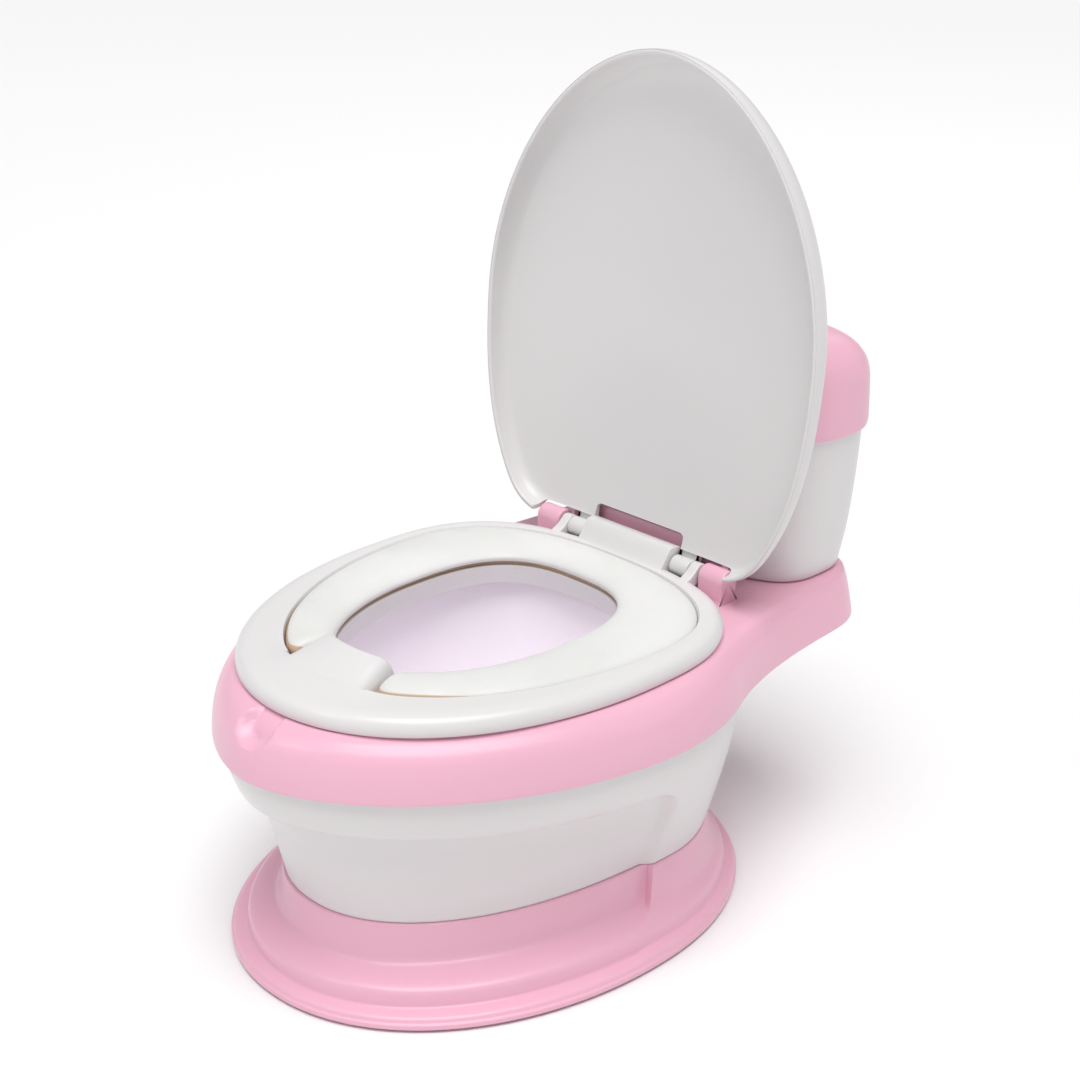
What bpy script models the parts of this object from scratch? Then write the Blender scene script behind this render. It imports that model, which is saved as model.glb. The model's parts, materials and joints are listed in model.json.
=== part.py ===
"""Toddler potty training chair shaped like a small toilet.

Frame: +Z up, the user faces -Y, +X to the user's left. The origin is on the floor, under the
centre of the chair's overall box. Sizes below are in millimetres, and build_mesh() turns them
into metres. The rest pose has the seat down and the lid open.
"""
import bpy
import bmesh
from math import cos, sin, pi, radians, exp, hypot
from mathutils import Matrix, Vector

# ---- driving dimensions, millimetres -------------------------------------------------------
GAP = 0.3                    # clearance between pieces that touch
WALL = 2.6                   # moulded wall thickness

FLOOR_GAP = 1.5              # underside of the base above the floor
PLINTH_TOP = 47.3            # top of the pink plinth
BODY_BOTTOM = PLINTH_TOP + GAP
BODY_TOP = 154.0
BODY_INSET = 4.3             # pedestal's upper edge inside the rim's skirt
SKIRT_BOTTOM = 141.0         # lower edge of the pink rim
DECK_TOP = 172.5             # flat top of the pink rim and platform
LEDGE = 167.6                # ledge that the pot's flange rests on

HINGE_Y = 87.0               # common axis of lid and seat
HINGE_Z = 185.5
BARREL_R = 6.0
BLOCK_R = 10.5               # the seat's hinge block between the ears
BLOCK_HALF = 34.7
PIN_R = 2.4
PIN_HOLE_R = 2.9
POST_IN, POST_OUT = 58.5, 77.0
RAIL_HALF = 62.0             # upright rail on the deck behind the hinge
RAIL_FRONT, RAIL_REAR = 99.5, 105.5
RAIL_TOP = 195.0
EAR_IN, EAR_OUT = 36.0, 49.5
LID_OPEN = radians(94.7)     # lid angle above the closed position

RING_BOTTOM = 174.5
RING_TOP = 184.5
RECESS_FLOOR = 177.0         # floor of the cushion's recess in the ring
GUARD_TOP = 195.0            # crest of the splash guard
CUSHION_BOTTOM = 179.5
CUSHION_TOP = 187.5

TANK_BOTTOM = DECK_TOP + GAP
TANK_SHOULDER = 266.0        # where the cap's edge sits
TANK_TOP = 276.0
CAP_TOP = 323.0
TANK_Y = 158.8

HALF_STEPS = 24              # outline segments on each side of the symmetry plane


# ---- outlines ------------------------------------------------------------------------------
def power(value, exponent):
    """Signed power, for superellipses."""
    size = abs(value) ** exponent
    return size if value >= 0 else -size


class Egg:
    """A closed egg: half width, front and rear ends, the widest point, and two exponents."""

    def __init__(self, half, front, rear, widest, blunt_front=2.0, blunt_rear=2.0):
        self.half = half
        self.front = front
        self.rear = rear
        self.widest = widest
        self.blunt_front = blunt_front
        self.blunt_rear = blunt_rear

    def point(self, angle):
        c, s = cos(angle), sin(angle)
        n = self.blunt_front if s < 0 else self.blunt_rear
        reach = self.widest - self.front if s < 0 else self.rear - self.widest
        return (self.half * power(c, 2 / n), self.widest + reach * power(s, 2 / n))

    def points(self, angles):
        return [self.point(a) for a in angles]


BASE_EDGE = Egg(132.0, -199.8, 126.0, -24.0, 2.07, 2.12)
FOOT = Egg(106.9, -173.3, 100.6, 12.0, 2.13, 1.97)
RIM = Egg(142.5, -210.2, 121.2, -22.1, 1.77, 2.04)
POT_FLANGE = Egg(91.5, -160.0, 60.0, -42.0, 2.0, 2.2)
RING = Egg(122.4, -187.6, 84.4, -20.4, 2.06, 2.8)
CUSHION_OUT = Egg(107.5, -157.0, 72.0, -6.6, 2.0, 2.5)
CUSHION_IN = Egg(63.0, -132.6, 39.4, -36.6, 2.0, 2.8)

NECK_START = 40.0            # y where the rim's outline leaves its egg for the platform
NECK_HALF = 101.0            # half width that the platform tends to
NECK_FADE = 57.0
PLATFORM_REAR = 210.4
PLATFORM_ROUND = 150.0       # y where the platform's rear corners begin

FRONT = -pi / 2
TURN = [FRONT + pi * i / HALF_STEPS for i in range(2 * HALF_STEPS)]


def deck_half_width(y):
    """Half width of the deck's lower outline behind NECK_START."""
    ratio = (NECK_START - RIM.widest) / (RIM.rear - RIM.widest)
    start = RIM.half * (1 - ratio ** RIM.blunt_rear) ** (1 / RIM.blunt_rear)
    half = NECK_HALF + (start - NECK_HALF) * exp(-(y - NECK_START) / NECK_FADE)
    if y <= PLATFORM_ROUND:
        return half
    t = min(1.0, (y - PLATFORM_ROUND) / (PLATFORM_REAR - PLATFORM_ROUND))
    return half * (1 - t ** 3) ** (1 / 3)


def deck_outline():
    """Closed outline of the rim and platform, from the front tip round the +X side."""
    front_steps, neck_steps = 13, 5
    rear_steps = HALF_STEPS - front_steps - neck_steps
    end = radians(25.8)                      # angle at which RIM reaches NECK_START
    right = [RIM.point(FRONT + (end - FRONT) * i / front_steps) for i in range(front_steps)]
    for i in range(neck_steps):
        y = NECK_START + (PLATFORM_ROUND - NECK_START) * i / neck_steps
        right.append((deck_half_width(y), y))
    for i in range(rear_steps):
        t = sin(pi / 2 * i / rear_steps)
        y = PLATFORM_ROUND + (PLATFORM_REAR - PLATFORM_ROUND) * t
        right.append((deck_half_width(y), y))
    left = [(-x, y) for x, y in reversed(right[1:])]
    return right + [(0.0, PLATFORM_REAR)] + left


def offset(points, inset):
    """Move each point of a closed, anticlockwise outline inwards by inset (a number or list)."""
    moved = []
    for i, (x, y) in enumerate(points):
        ax, ay = points[i - 1]
        bx, by = points[(i + 1) % len(points)]
        length = hypot(bx - ax, by - ay)
        d = inset[i] if isinstance(inset, list) else inset
        moved.append((x - (by - ay) / length * d, y + (bx - ax) / length * d))
    return moved


def between(low, high, t):
    return low + (high - low) * t


def mix(a, b, t):
    """Outline part of the way from a to b; t may be a number or one value for each point."""
    ts = t if isinstance(t, list) else [t] * len(a)
    return [(between(p[0], q[0], s), between(p[1], q[1], s)) for p, q, s in zip(a, b, ts)]


def smooth(value, low, high):
    t = max(0.0, min(1.0, (value - low) / (high - low)))
    return t * t * (3 - 2 * t)


def level(points, z):
    """Raise an outline to height z, a number or one value for each point."""
    zs = z if isinstance(z, list) else [z] * len(points)
    return [Vector((x, y, h)) for (x, y), h in zip(points, zs)]


# ---- meshes --------------------------------------------------------------------------------
def material(name, colour, roughness, metallic=0.0):
    made = bpy.data.materials.new(name)
    made.use_nodes = True
    shader = made.node_tree.nodes["Principled BSDF"]
    shader.inputs["Base Color"].default_value = (*colour, 1.0)
    shader.inputs["Roughness"].default_value = roughness
    shader.inputs["Metallic"].default_value = metallic
    made.diffuse_color = (*colour, 1.0)
    return made


PINK = (0.80, 0.44, 0.56)
WHITE = (0.84, 0.84, 0.83)
FINISHES = {
    "pink": (PINK, 0.32, 0.0),
    "white": (WHITE, 0.28, 0.0),
    "pot": ((0.80, 0.72, 0.80), 0.35, 0.0),
    "cushion": ((0.76, 0.77, 0.76), 0.5, 0.0),
    "backing": ((0.72, 0.70, 0.66), 0.5, 0.0),
    "rubber": ((0.75, 0.75, 0.74), 0.8, 0.0),
    "steel": ((0.6, 0.6, 0.6), 0.3, 1.0),
}


def build_mesh(name, bm, origin):
    """Turn a bmesh in millimetres into a mesh in metres about origin."""
    bmesh.ops.recalc_face_normals(bm, faces=bm.faces)
    bmesh.ops.translate(bm, vec=-Vector(origin), verts=bm.verts)
    bmesh.ops.scale(bm, vec=(0.001, 0.001, 0.001), verts=bm.verts)
    mesh = bpy.data.meshes.new(name)
    bm.to_mesh(mesh)
    bm.free()
    mesh.shade_smooth()
    mesh.set_sharp_from_angle(angle=radians(32))
    return mesh


def place(name, bm, finish, origin=(0, 0, 0), parent=None):
    """Make the named object of one sub-part, with its own material and origin."""
    part = bpy.data.objects.new(name, build_mesh(name, bm, origin))
    part.location = Vector(origin) / 1000
    part.data.materials.append(material(name, *FINISHES[finish]))
    if parent:
        part.parent = parent
        part.location = part.location - parent.location
    bpy.context.collection.objects.link(part)
    return part


def axis_empty(name, origin, parent=None):
    """An empty on a joint's axis, which carries the pieces that move with that joint."""
    empty = bpy.data.objects.new(name, None)
    empty.location = Vector(origin) / 1000
    if parent:
        empty.parent = parent
        empty.location = empty.location - parent.location
    bpy.context.collection.objects.link(empty)
    return empty


def loft(loops, ring=True, bm=None):
    """Skin a list of equal closed loops; a ring joins the last to the first, else both cap."""
    bm = bm or bmesh.new()
    rows = [[bm.verts.new(p) for p in loop] for loop in loops]
    pairs = list(zip(rows, rows[1:]))
    if ring:
        pairs.append((rows[-1], rows[0]))
    for low, high in pairs:
        for i in range(len(low)):
            j = (i + 1) % len(low)
            bm.faces.new((low[i], low[j], high[j], high[i]))
    if not ring:
        for row in (rows[0], rows[-1]):
            cap_fan(bm, row)
    return bm


def cap_fan(bm, row):
    """Close an end loop with a fan about its middle, so that it may be uneven."""
    middle = sum((v.co for v in row), Vector()) / len(row)
    hub = bm.verts.new(middle)
    for i in range(len(row)):
        bm.faces.new((row[i], row[(i + 1) % len(row)], hub))


def prism_x(profile, x_low, x_high, bm=None):
    """Extrude a (y, z) profile along X."""
    ends = [[Vector((x, y, z)) for y, z in profile] for x in (x_low, x_high)]
    return loft(ends, ring=False, bm=bm)


def box(low, high, bm=None):
    x0, y0, z0 = low
    x1, y1, z1 = high
    corners = [(x0, y0), (x1, y0), (x1, y1), (x0, y1)]
    return loft([level(corners, z0), level(corners, z1)], ring=False, bm=bm)


def circle(radius, steps, centre=(0, 0)):
    turn = [2 * pi * i / steps for i in range(steps)]
    return [(centre[0] + radius * cos(a), centre[1] + radius * sin(a)) for a in turn]


def turned(sections, centre=(0, 0), steps=16, bm=None):
    """A solid turned about a vertical axis from (radius, z) sections."""
    loops = [level(circle(r, steps, centre), z) for r, z in sections]
    return loft(loops, ring=False, bm=bm)


def rod_x(sections, y, z, steps=12, bm=None):
    """A solid turned about an axis along X from (radius, x) sections."""
    loops = []
    for radius, x in sections:
        loops.append([Vector((x, y + a, z + b)) for a, b in circle(radius, steps)])
    return loft(loops, ring=False, bm=bm)


def boolean(part, tool_mesh, operation, frame=None):
    """Join or cut part with a guide solid, given in world millimetres or in a turned frame."""
    tool = bpy.data.objects.new(part.name + "_guide", build_mesh("guide", tool_mesh, (0, 0, 0)))
    if frame:
        tool.matrix_world = frame
    tool.hide_render = True
    tool.display_type = "WIRE"
    bpy.context.collection.objects.link(tool)
    modifier = part.modifiers.new(operation.lower(), "BOOLEAN")
    modifier.operation = operation
    modifier.solver = "EXACT"
    modifier.object = tool


# ---- base, pedestal and deck ---------------------------------------------------------------
RECESS_DEPTH = 4.0           # side panel of the pedestal and plinth
RECESS_TOP = 106.0
RECESS_END = -8.0            # y where the panel ends

PEDESTAL = [                 # z, share of the way from FOOT to the upper edge at front and at rear
    (BODY_BOTTOM, 0.00, 0.00), (60.0, 0.10, 0.20), (72.0, 0.20, 0.37), (84.0, 0.31, 0.53),
    (95.0, 0.43, 0.665), (RECESS_TOP - 3, 0.55, 0.75), (RECESS_TOP + 1, 0.62, 0.79),
    (118.0, 0.80, 0.89), (129.0, 0.93, 0.96), (SKIRT_BOTTOM, 1.00, 1.00), (BODY_TOP, 0.94, 0.94),
]

PLINTH = [                   # z, share of the way from FOOT to BASE_EDGE
    (PLINTH_TOP, 0.03), (40.0, 0.08), (24.0, 0.30), (20.0, 0.48), (17.0, 0.60),
    (9.5, 0.68), (8.0, 0.90), (5.5, 1.00), (FLOOR_GAP, 1.00),
]


def panel_inset(y, depth_share=1.0):
    """Inset of the recessed panel, which fades out behind RECESS_END."""
    return RECESS_DEPTH * depth_share * (1 - smooth(y, RECESS_END - 4, RECESS_END + 4))


def base_loops():
    foot = FOOT.points(TURN)
    edge = BASE_EDGE.points(TURN)
    loops = []
    for z, share in PLINTH:
        outline = mix(foot, edge, share)
        fade = 1 - smooth(share, 0.3, 0.6)
        outline = offset(outline, [panel_inset(y, fade) for x, y in outline])
        loops.append(level(outline, z))
    return loops


def base_part():
    outer = base_loops()
    foot = FOOT.points(TURN)
    edge = BASE_EDGE.points(TURN)
    under = [level(offset(edge, 23.0), FLOOR_GAP), level(offset(edge, 23.0), 6.5)]
    under.append(level(offset(mix(foot, edge, 0.2), RECESS_DEPTH + WALL), 24.0))
    under.append(level(offset(foot, RECESS_DEPTH + WALL), PLINTH_TOP - WALL))
    return place("base", loft(outer + under, ring=False), "pink")


def pedestal_outline(front_share, rear_share, panel):
    foot = FOOT.points(TURN)
    rim = offset(RIM.points(TURN), BODY_INSET)
    shares = [between(front_share, rear_share, smooth(y, -60, 70)) for x, y in foot]
    outline = mix(foot, rim, shares)
    if panel:
        outline = offset(outline, [panel_inset(y) for x, y in outline])
    return outline


def pedestal_part():
    outer, inner = [], []
    for z, front, rear in PEDESTAL:
        outline = pedestal_outline(front, rear, z < RECESS_TOP)
        outer.append(level(outline, z))
        inner.append(level(offset(outline, WALL), z))
    foot = pedestal_outline(0.0, 0.0, True)
    flange = [level(offset(foot, 20.0), BODY_BOTTOM), level(offset(foot, 20.0), BODY_BOTTOM + 3)]
    inner[0] = level(offset(foot, WALL), BODY_BOTTOM + 3)
    return place("bowl_body", loft(outer + inner[::-1] + flange[::-1]), "white")


DECK_WALL = [                # z, inset of the rim's wall, inset of the platform's wall
    (SKIRT_BOTTOM, 0.0, 0.0), (150.0, 0.8, 1.5), (158.0, 2.6, 3.2), (164.0, 5.4, 4.8),
    (168.0, 8.8, 6.0), (171.2, 13.4, 7.2), (DECK_TOP, 17.0, 8.6),
]
NOTCH_HALF = 20.0            # finger notch in the front of the rim
NOTCH_DEPTH = 7.0


def deck_insets(outline, rim_inset, platform_inset, z):
    """Wall insets round the outline, with the finger notch scooped out of the front."""
    insets = []
    scoop = smooth(z, 152, 166)
    for x, y in outline:
        inset = between(rim_inset, platform_inset, smooth(y, 30, 140))
        if y < 0 and abs(x) < NOTCH_HALF:
            inset += NOTCH_DEPTH * scoop * (1 - smooth(abs(x), 2, NOTCH_HALF))
        insets.append(inset)
    return insets


def deck_part():
    outline = deck_outline()
    flange = POT_FLANGE.points(TURN)
    outer, inner = [], []
    for z, rim_inset, platform_inset in DECK_WALL:
        insets = deck_insets(outline, rim_inset, platform_inset, z)
        outer.append(level(offset(outline, insets), z))
        inside = [d + WALL for d in insets]
        inner.append(level(offset(outline, inside), min(z, DECK_TOP - WALL - 0.4)))
    inner[-2] = inner[-1]
    seat = [
        level(offset(flange, -1.5), DECK_TOP),
        level(offset(flange, -1.5), LEDGE),
        level(offset(flange, 6.0), LEDGE),
        level(offset(flange, 6.0), LEDGE - WALL),
        level(offset(flange, -1.5 - WALL), LEDGE - WALL),
        level(offset(flange, -1.5 - WALL), DECK_TOP - WALL),
    ]
    deck = place("seat_deck", loft(outer + seat + [inner[-1]] + inner[-3::-1]), "pink")
    arc = [radians(180 - 15 * i) for i in range(13)]
    half = 7.1
    centre = HINGE_Y + 1.4
    for side in (-1, 1):
        profile = [(centre - half, DECK_TOP - 1.5)]
        profile += [(centre + half * cos(a), HINGE_Z + half * sin(a)) for a in arc]
        profile.append((centre + half, DECK_TOP - 1.5))
        ends = sorted((side * POST_IN, side * POST_OUT))
        boolean(deck, prism_x(profile, *ends), "UNION")
    foot, shoulder = DECK_TOP - 1.5, RAIL_TOP - 2.5
    rail = [(RAIL_FRONT, foot), (RAIL_FRONT, shoulder), (RAIL_FRONT + 1.5, RAIL_TOP),
            (RAIL_REAR - 1.5, RAIL_TOP), (RAIL_REAR, shoulder), (RAIL_REAR, foot)]
    boolean(deck, prism_x(rail, -RAIL_HALF, RAIL_HALF), "UNION")
    holes = rod_x([(PIN_HOLE_R, -90), (PIN_HOLE_R, 90)], HINGE_Y, HINGE_Z)
    boolean(deck, holes, "DIFFERENCE")
    x, y = SPIGOT_HALF
    socket = box((-x - 0.5, TANK_Y - y - 0.5, 160), (x + 0.5, TANK_Y + y + 0.5, 180))
    boolean(deck, socket, "DIFFERENCE")
    return deck


# ---- tank ----------------------------------------------------------------------------------
SPIGOT_HALF = (32.0, 15.0)   # plug under the tank that enters the platform
SPIGOT_DEPTH = 9.0
TANK_WALL = [                # z, half width, half depth
    (TANK_BOTTOM, 88.5, 41.5), (TANK_BOTTOM + 3, 91.0, 43.0), (200.0, 95.2, 43.4),
    (235.0, 99.6, 43.8), (TANK_SHOULDER, 102.0, 44.0), (TANK_SHOULDER, 98.6, 40.6),
    (TANK_TOP, 98.6, 40.6),
]
CAP_WALL = [
    (TANK_SHOULDER + GAP, 104.6, 46.6), (270.0, 105.2, 47.2), (296.0, 104.6, 46.8),
    (306.0, 102.6, 45.0), (314.0, 98.0, 40.6), (319.5, 90.0, 33.0), (322.0, 78.0, 22.0),
    (CAP_TOP, 60.0, 9.0),
]
TANK_TURN = [FRONT + 2 * pi * i / 40 for i in range(40)]


def tank_loop(half_x, half_y, z):
    shape = Egg(half_x, TANK_Y - half_y, TANK_Y + half_y, TANK_Y, 3.0, 3.0)
    return level(shape.points(TANK_TURN), z)


def tank_parts():
    tank_axis = axis_empty("tank_lift_axis", (0, TANK_Y, TANK_BOTTOM))
    cap_axis = axis_empty("cap_lift_axis", (0, TANK_Y, TANK_SHOULDER))
    outer = [tank_loop(x, y, z) for z, x, y in TANK_WALL]
    inner = [tank_loop(x - WALL, y - WALL, max(z, TANK_BOTTOM + 3)) for z, x, y in TANK_WALL[1:5]]
    inner[-1] = tank_loop(98.6 - WALL, 40.6 - WALL, TANK_SHOULDER - 4)
    inner.append(tank_loop(98.6 - WALL, 40.6 - WALL, TANK_TOP))
    bm = loft(outer + inner[::-1], ring=False)
    tank = place("tank_body", bm, "white", (0, TANK_Y, TANK_BOTTOM), tank_axis)
    x, y = SPIGOT_HALF
    plug = box((-x, TANK_Y - y, TANK_BOTTOM - SPIGOT_DEPTH), (x, TANK_Y + y, TANK_BOTTOM + 2))
    boolean(tank, plug, "UNION")
    outer = [tank_loop(x, y, z) for z, x, y in CAP_WALL]
    inner = [tank_loop(x - WALL, y - WALL, z) for z, x, y in CAP_WALL[:3]]
    inner += [tank_loop(x - WALL, max(y - WALL, 6), z - WALL) for z, x, y in CAP_WALL[3:]]
    bm = loft(outer[::-1] + inner, ring=False)
    place("tank_cap", bm, "pink", (0, TANK_Y, TANK_SHOULDER), cap_axis)


# ---- seat ring, cushion and pot ------------------------------------------------------------
TIP_ANGLE = radians(19.0)    # half angle of the cushion's open front
TIP_GAP = radians(1.6)       # room between the cushion's tips and the splash guard
CUSHION_STEPS = 40
CUSHION_TURN = [
    FRONT + TIP_ANGLE + (2 * pi - 2 * TIP_ANGLE) * i / CUSHION_STEPS
    for i in range(CUSHION_STEPS + 1)
]
GUARD_HALF = TIP_ANGLE - TIP_GAP
GUARD_TURN = [FRONT + GUARD_HALF * (0.94 - 0.47 * i) for i in range(5)]
SEAT_TURN = [FRONT + GUARD_HALF] + CUSHION_TURN[1:-1] + [FRONT - GUARD_HALF + 2 * pi]
SEAT_TURN += [a + 2 * pi for a in GUARD_TURN[::-1]]


def guard_share(index):
    """1 on the splash guard's columns, 0 where the cushion lies."""
    return 1.0 if index > CUSHION_STEPS else 0.0


def seat_ring_loops():
    ring = RING.points(SEAT_TURN)
    recess = offset(CUSHION_OUT.points(SEAT_TURN), -1.5)
    opening = CUSHION_IN.points(SEAT_TURN)
    guard = [guard_share(i) for i in range(len(SEAT_TURN))]
    middle = mix(recess, opening, [0.04 + 0.46 * g for g in guard])
    crest = [GUARD_TOP - 3.0 * (x / 25) ** 2 for x, y in opening]
    lip = offset(opening, -WALL)
    channel = [between(RING_TOP - WALL, RING_BOTTOM + 0.6, smooth(y, 40, 60)) for x, y in ring]
    return [
        level(offset(ring, 1.0), RING_BOTTOM),
        level(ring, 177.0),
        level(offset(ring, 1.2), 180.5),
        level(offset(ring, 4.5), 183.5),
        level(offset(ring, 9.0), RING_TOP),
        level(recess, [between(RING_TOP - 0.3, RING_TOP + 2.5, g) for g in guard]),
        level(middle, [between(RECESS_FLOOR, c - 3, g) for c, g in zip(crest, guard)]),
        level(opening, [between(RECESS_FLOOR, c, g) for c, g in zip(crest, guard)]),
        level(opening, LEDGE - 2),
        level(lip, LEDGE - 2),
        level(lip, RING_BOTTOM),
        level(offset(recess, -WALL), RING_BOTTOM),
        level(offset(recess, -WALL), channel),
        level(offset(ring, 5.0), channel),
        level(offset(ring, 3.6), RING_BOTTOM),
    ]


def barrel_profile(radius, reach_y, low_z, high_z):
    """Side profile of a hinge barrel with a web that reaches forwards to reach_y."""
    arc = [radians(-120 + 20 * i) for i in range(13)]
    round_part = [(HINGE_Y + radius * cos(a), HINGE_Z + radius * sin(a)) for a in arc]
    return round_part + [(reach_y, high_z), (reach_y, low_z)]


STUDS = [(index, 0.5) for index in (6, 14, 26, 34)]
STUD_R = 3.0


def stud_points():
    outer = CUSHION_OUT.points(CUSHION_TURN)
    inner = CUSHION_IN.points(CUSHION_TURN)
    return [mix(outer, inner, share)[index] for index, share in STUDS]


def seat_parts():
    origin = (0, HINGE_Y, HINGE_Z)
    axis = axis_empty("seat_axis", origin)
    ring = place("seat_ring", loft(seat_ring_loops()), "white", origin, axis)
    for radius, low, high in ((BLOCK_R, -BLOCK_HALF, BLOCK_HALF), (BARREL_R, -56.8, -50.1),
                              (BARREL_R, 50.1, 56.8)):
        profile = barrel_profile(radius, HINGE_Y - 11.5, RING_BOTTOM + 0.5, RING_TOP - 1)
        boolean(ring, prism_x(profile, low, high), "UNION")
    cuts = bmesh.new()
    for side in (-1, 1):
        ends = sorted((side * (EAR_IN - 0.8), side * (EAR_OUT + 0.8)))
        box((ends[0], HINGE_Y - 8.5, 178.0), (ends[1], HINGE_Y + 20, 200.0), cuts)
    for x, y in stud_points():
        turned([(STUD_R + 0.5, 170.0), (STUD_R + 0.5, 178.5)], (x, y), 12, cuts)
    boolean(ring, cuts, "DIFFERENCE")
    hole = rod_x([(PIN_HOLE_R, -90), (PIN_HOLE_R, 90)], HINGE_Y, HINGE_Z)
    boolean(ring, hole, "DIFFERENCE")
    corner = offset(RING.points(TURN), 8.0)
    for name, index in (("front_right", 43), ("front_left", 5), ("rear_right", 32), ("rear_left", 16)):
        sections = [(4.0, DECK_TOP + GAP), (4.5, RING_BOTTOM - 1), (4.5, RING_BOTTOM - GAP)]
        place("seat_bumper_" + name, turned(sections, corner[index], 12), "rubber", origin, axis)
    return axis


CUSHION_SECTION = [          # share of the way across from outside to inside, height share
    (0.03, 0.0), (0.0, 0.30), (0.02, 0.62), (0.10, 0.86), (0.28, 0.98), (0.5, 1.0),
    (0.72, 0.95), (0.90, 0.78), (0.985, 0.50), (1.0, 0.22), (0.98, 0.0),
]


def band(section, low, high, side_inset=0.0):
    """Sweep a section along the U between the cushion's outer and inner outlines."""
    outer = offset(CUSHION_OUT.points(CUSHION_TURN), side_inset)
    inner = offset(CUSHION_IN.points(CUSHION_TURN), -side_inset)
    loops = []
    for (ax, ay), (bx, by) in zip(outer, inner):
        loop = []
        for across, up in section:
            loop.append(Vector((between(ax, bx, across), between(ay, by, across),
                                between(low, high, up))))
        loops.append(loop)
    return loft(loops, ring=False)


def cushion_parts(seat_axis):
    origin = (0, -40.0, CUSHION_BOTTOM)
    axis = axis_empty("cushion_axis", origin, seat_axis)
    axis.location = (Vector(origin) - Vector((0, HINGE_Y, HINGE_Z))) / 1000
    soft = band(CUSHION_SECTION, CUSHION_BOTTOM, CUSHION_TOP)
    flat = [(0.06, 0.0), (0.06, 1.0), (0.94, 1.0), (0.94, 0.0)]
    plate = band(flat, RECESS_FLOOR + GAP, CUSHION_BOTTOM - GAP)
    for name, bm, finish in (("seat_cushion", soft, "cushion"), ("cushion_plate", plate, "backing")):
        part = place(name, bm, finish, origin)
        part.parent = axis
        part.location = (0, 0, 0)
    for x, y in stud_points():
        stud = turned([(STUD_R - 0.6, 172.9), (STUD_R, 174.0), (STUD_R, 178.5)], (x, y), 12)
        boolean(part, stud, "UNION")


POT_WALL = [                 # z, inset of the pot's outside from the flange's edge
    (165.0, 7.6), (150.0, 9.5), (110.0, 14.0), (80.0, 19.0), (66.0, 27.0), (60.0, 40.0),
]


def pot_part():
    flange = POT_FLANGE.points(TURN)
    top = LEDGE + GAP + 2.4
    outer = [level(flange, top), level(flange, LEDGE + GAP)]
    outer.append(level(offset(flange, POT_WALL[0][1]), LEDGE + GAP))
    outer += [level(offset(flange, inset), z) for z, inset in POT_WALL]
    inner = [level(offset(flange, inset + WALL), z + WALL) for z, inset in POT_WALL[::-1]]
    inner.append(level(offset(flange, POT_WALL[0][1] + 1.6), top))
    bm = loft(outer[::-1] + inner[::-1], ring=False)
    axis = axis_empty("pot_lift_axis", (0, POT_FLANGE.widest, LEDGE))
    place("inner_pot", bm, "pot", (0, POT_FLANGE.widest, LEDGE), axis)


# ---- lid -----------------------------------------------------------------------------------
# The lid is drawn closed, about the hinge axis: x, u forwards from the axis, v above it.
LID_TIP = 297.5
LID_WIDEST = 137.0
LID_HALF = 129.6
LID_TAIL = 30.0              # where the rear curve would end behind the axis
LID_CUT = 2.0                # the straight rear edge, forwards of the axis
LID_CORNER = 18.0            # length over which the rear corners are rounded
LID_PLANE = -8.0             # height of the lid's edge above the axis
LID_SKIN = 2.5
LID_EDGE_REAR, LID_EDGE_FRONT = 13.0, 17.5
CUTOUT_HALF = 79.0           # rear cutout for the posts and the seat's barrels
CUTOUT_FRONT = 8.7
MIDDLE_HALF = 36.0           # deeper cutout between the ears
MIDDLE_FRONT = 17.0
LID_DOME = [                 # scale of the outline, share of the edge height, extra dome height
    (1.0, 0.0, 0.0), (1.0, 0.35, 0.0), (0.990, 0.68, 0.0), (0.965, 0.93, 0.5),
    (0.92, 1.0, 2.2), (0.82, 1.0, 4.6), (0.62, 1.0, 6.4), (0.32, 1.0, 7.2),
]


def soft_max(a, b, width):
    """The larger value, with the change from one to the other rounded over width."""
    near = max(width - abs(a - b), 0.0) / width
    return max(a, b) + near * near * width / 4


def lid_outline():
    shape = Egg(LID_HALF, -LID_TIP, LID_TAIL, -LID_WIDEST, 1.89, 2.41)
    return [(x, soft_max(-y, LID_CUT, LID_CORNER)) for x, y in shape.points(TURN)]


def lid_surface(scale, edge_share, dome, skin):
    """One loop of the dish in (x, -u, v), for the outer face or, with skin, the inner one."""
    loop = []
    for x, u in lid_outline():
        edge = between(LID_EDGE_REAR, LID_EDGE_FRONT, smooth(u, 0, LID_TIP))
        shrink = scale - skin / LID_HALF * (1.0 if edge_share < 0.9 else 0.4)
        height = LID_PLANE + edge * edge_share + dome
        if skin and edge_share > 0:
            height -= skin * min(1.0, edge_share)
        v = max(height, LID_PLANE)
        loop.append(Vector((x * shrink, -(LID_WIDEST + (u - LID_WIDEST) * shrink), v)))
    return loop


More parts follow.
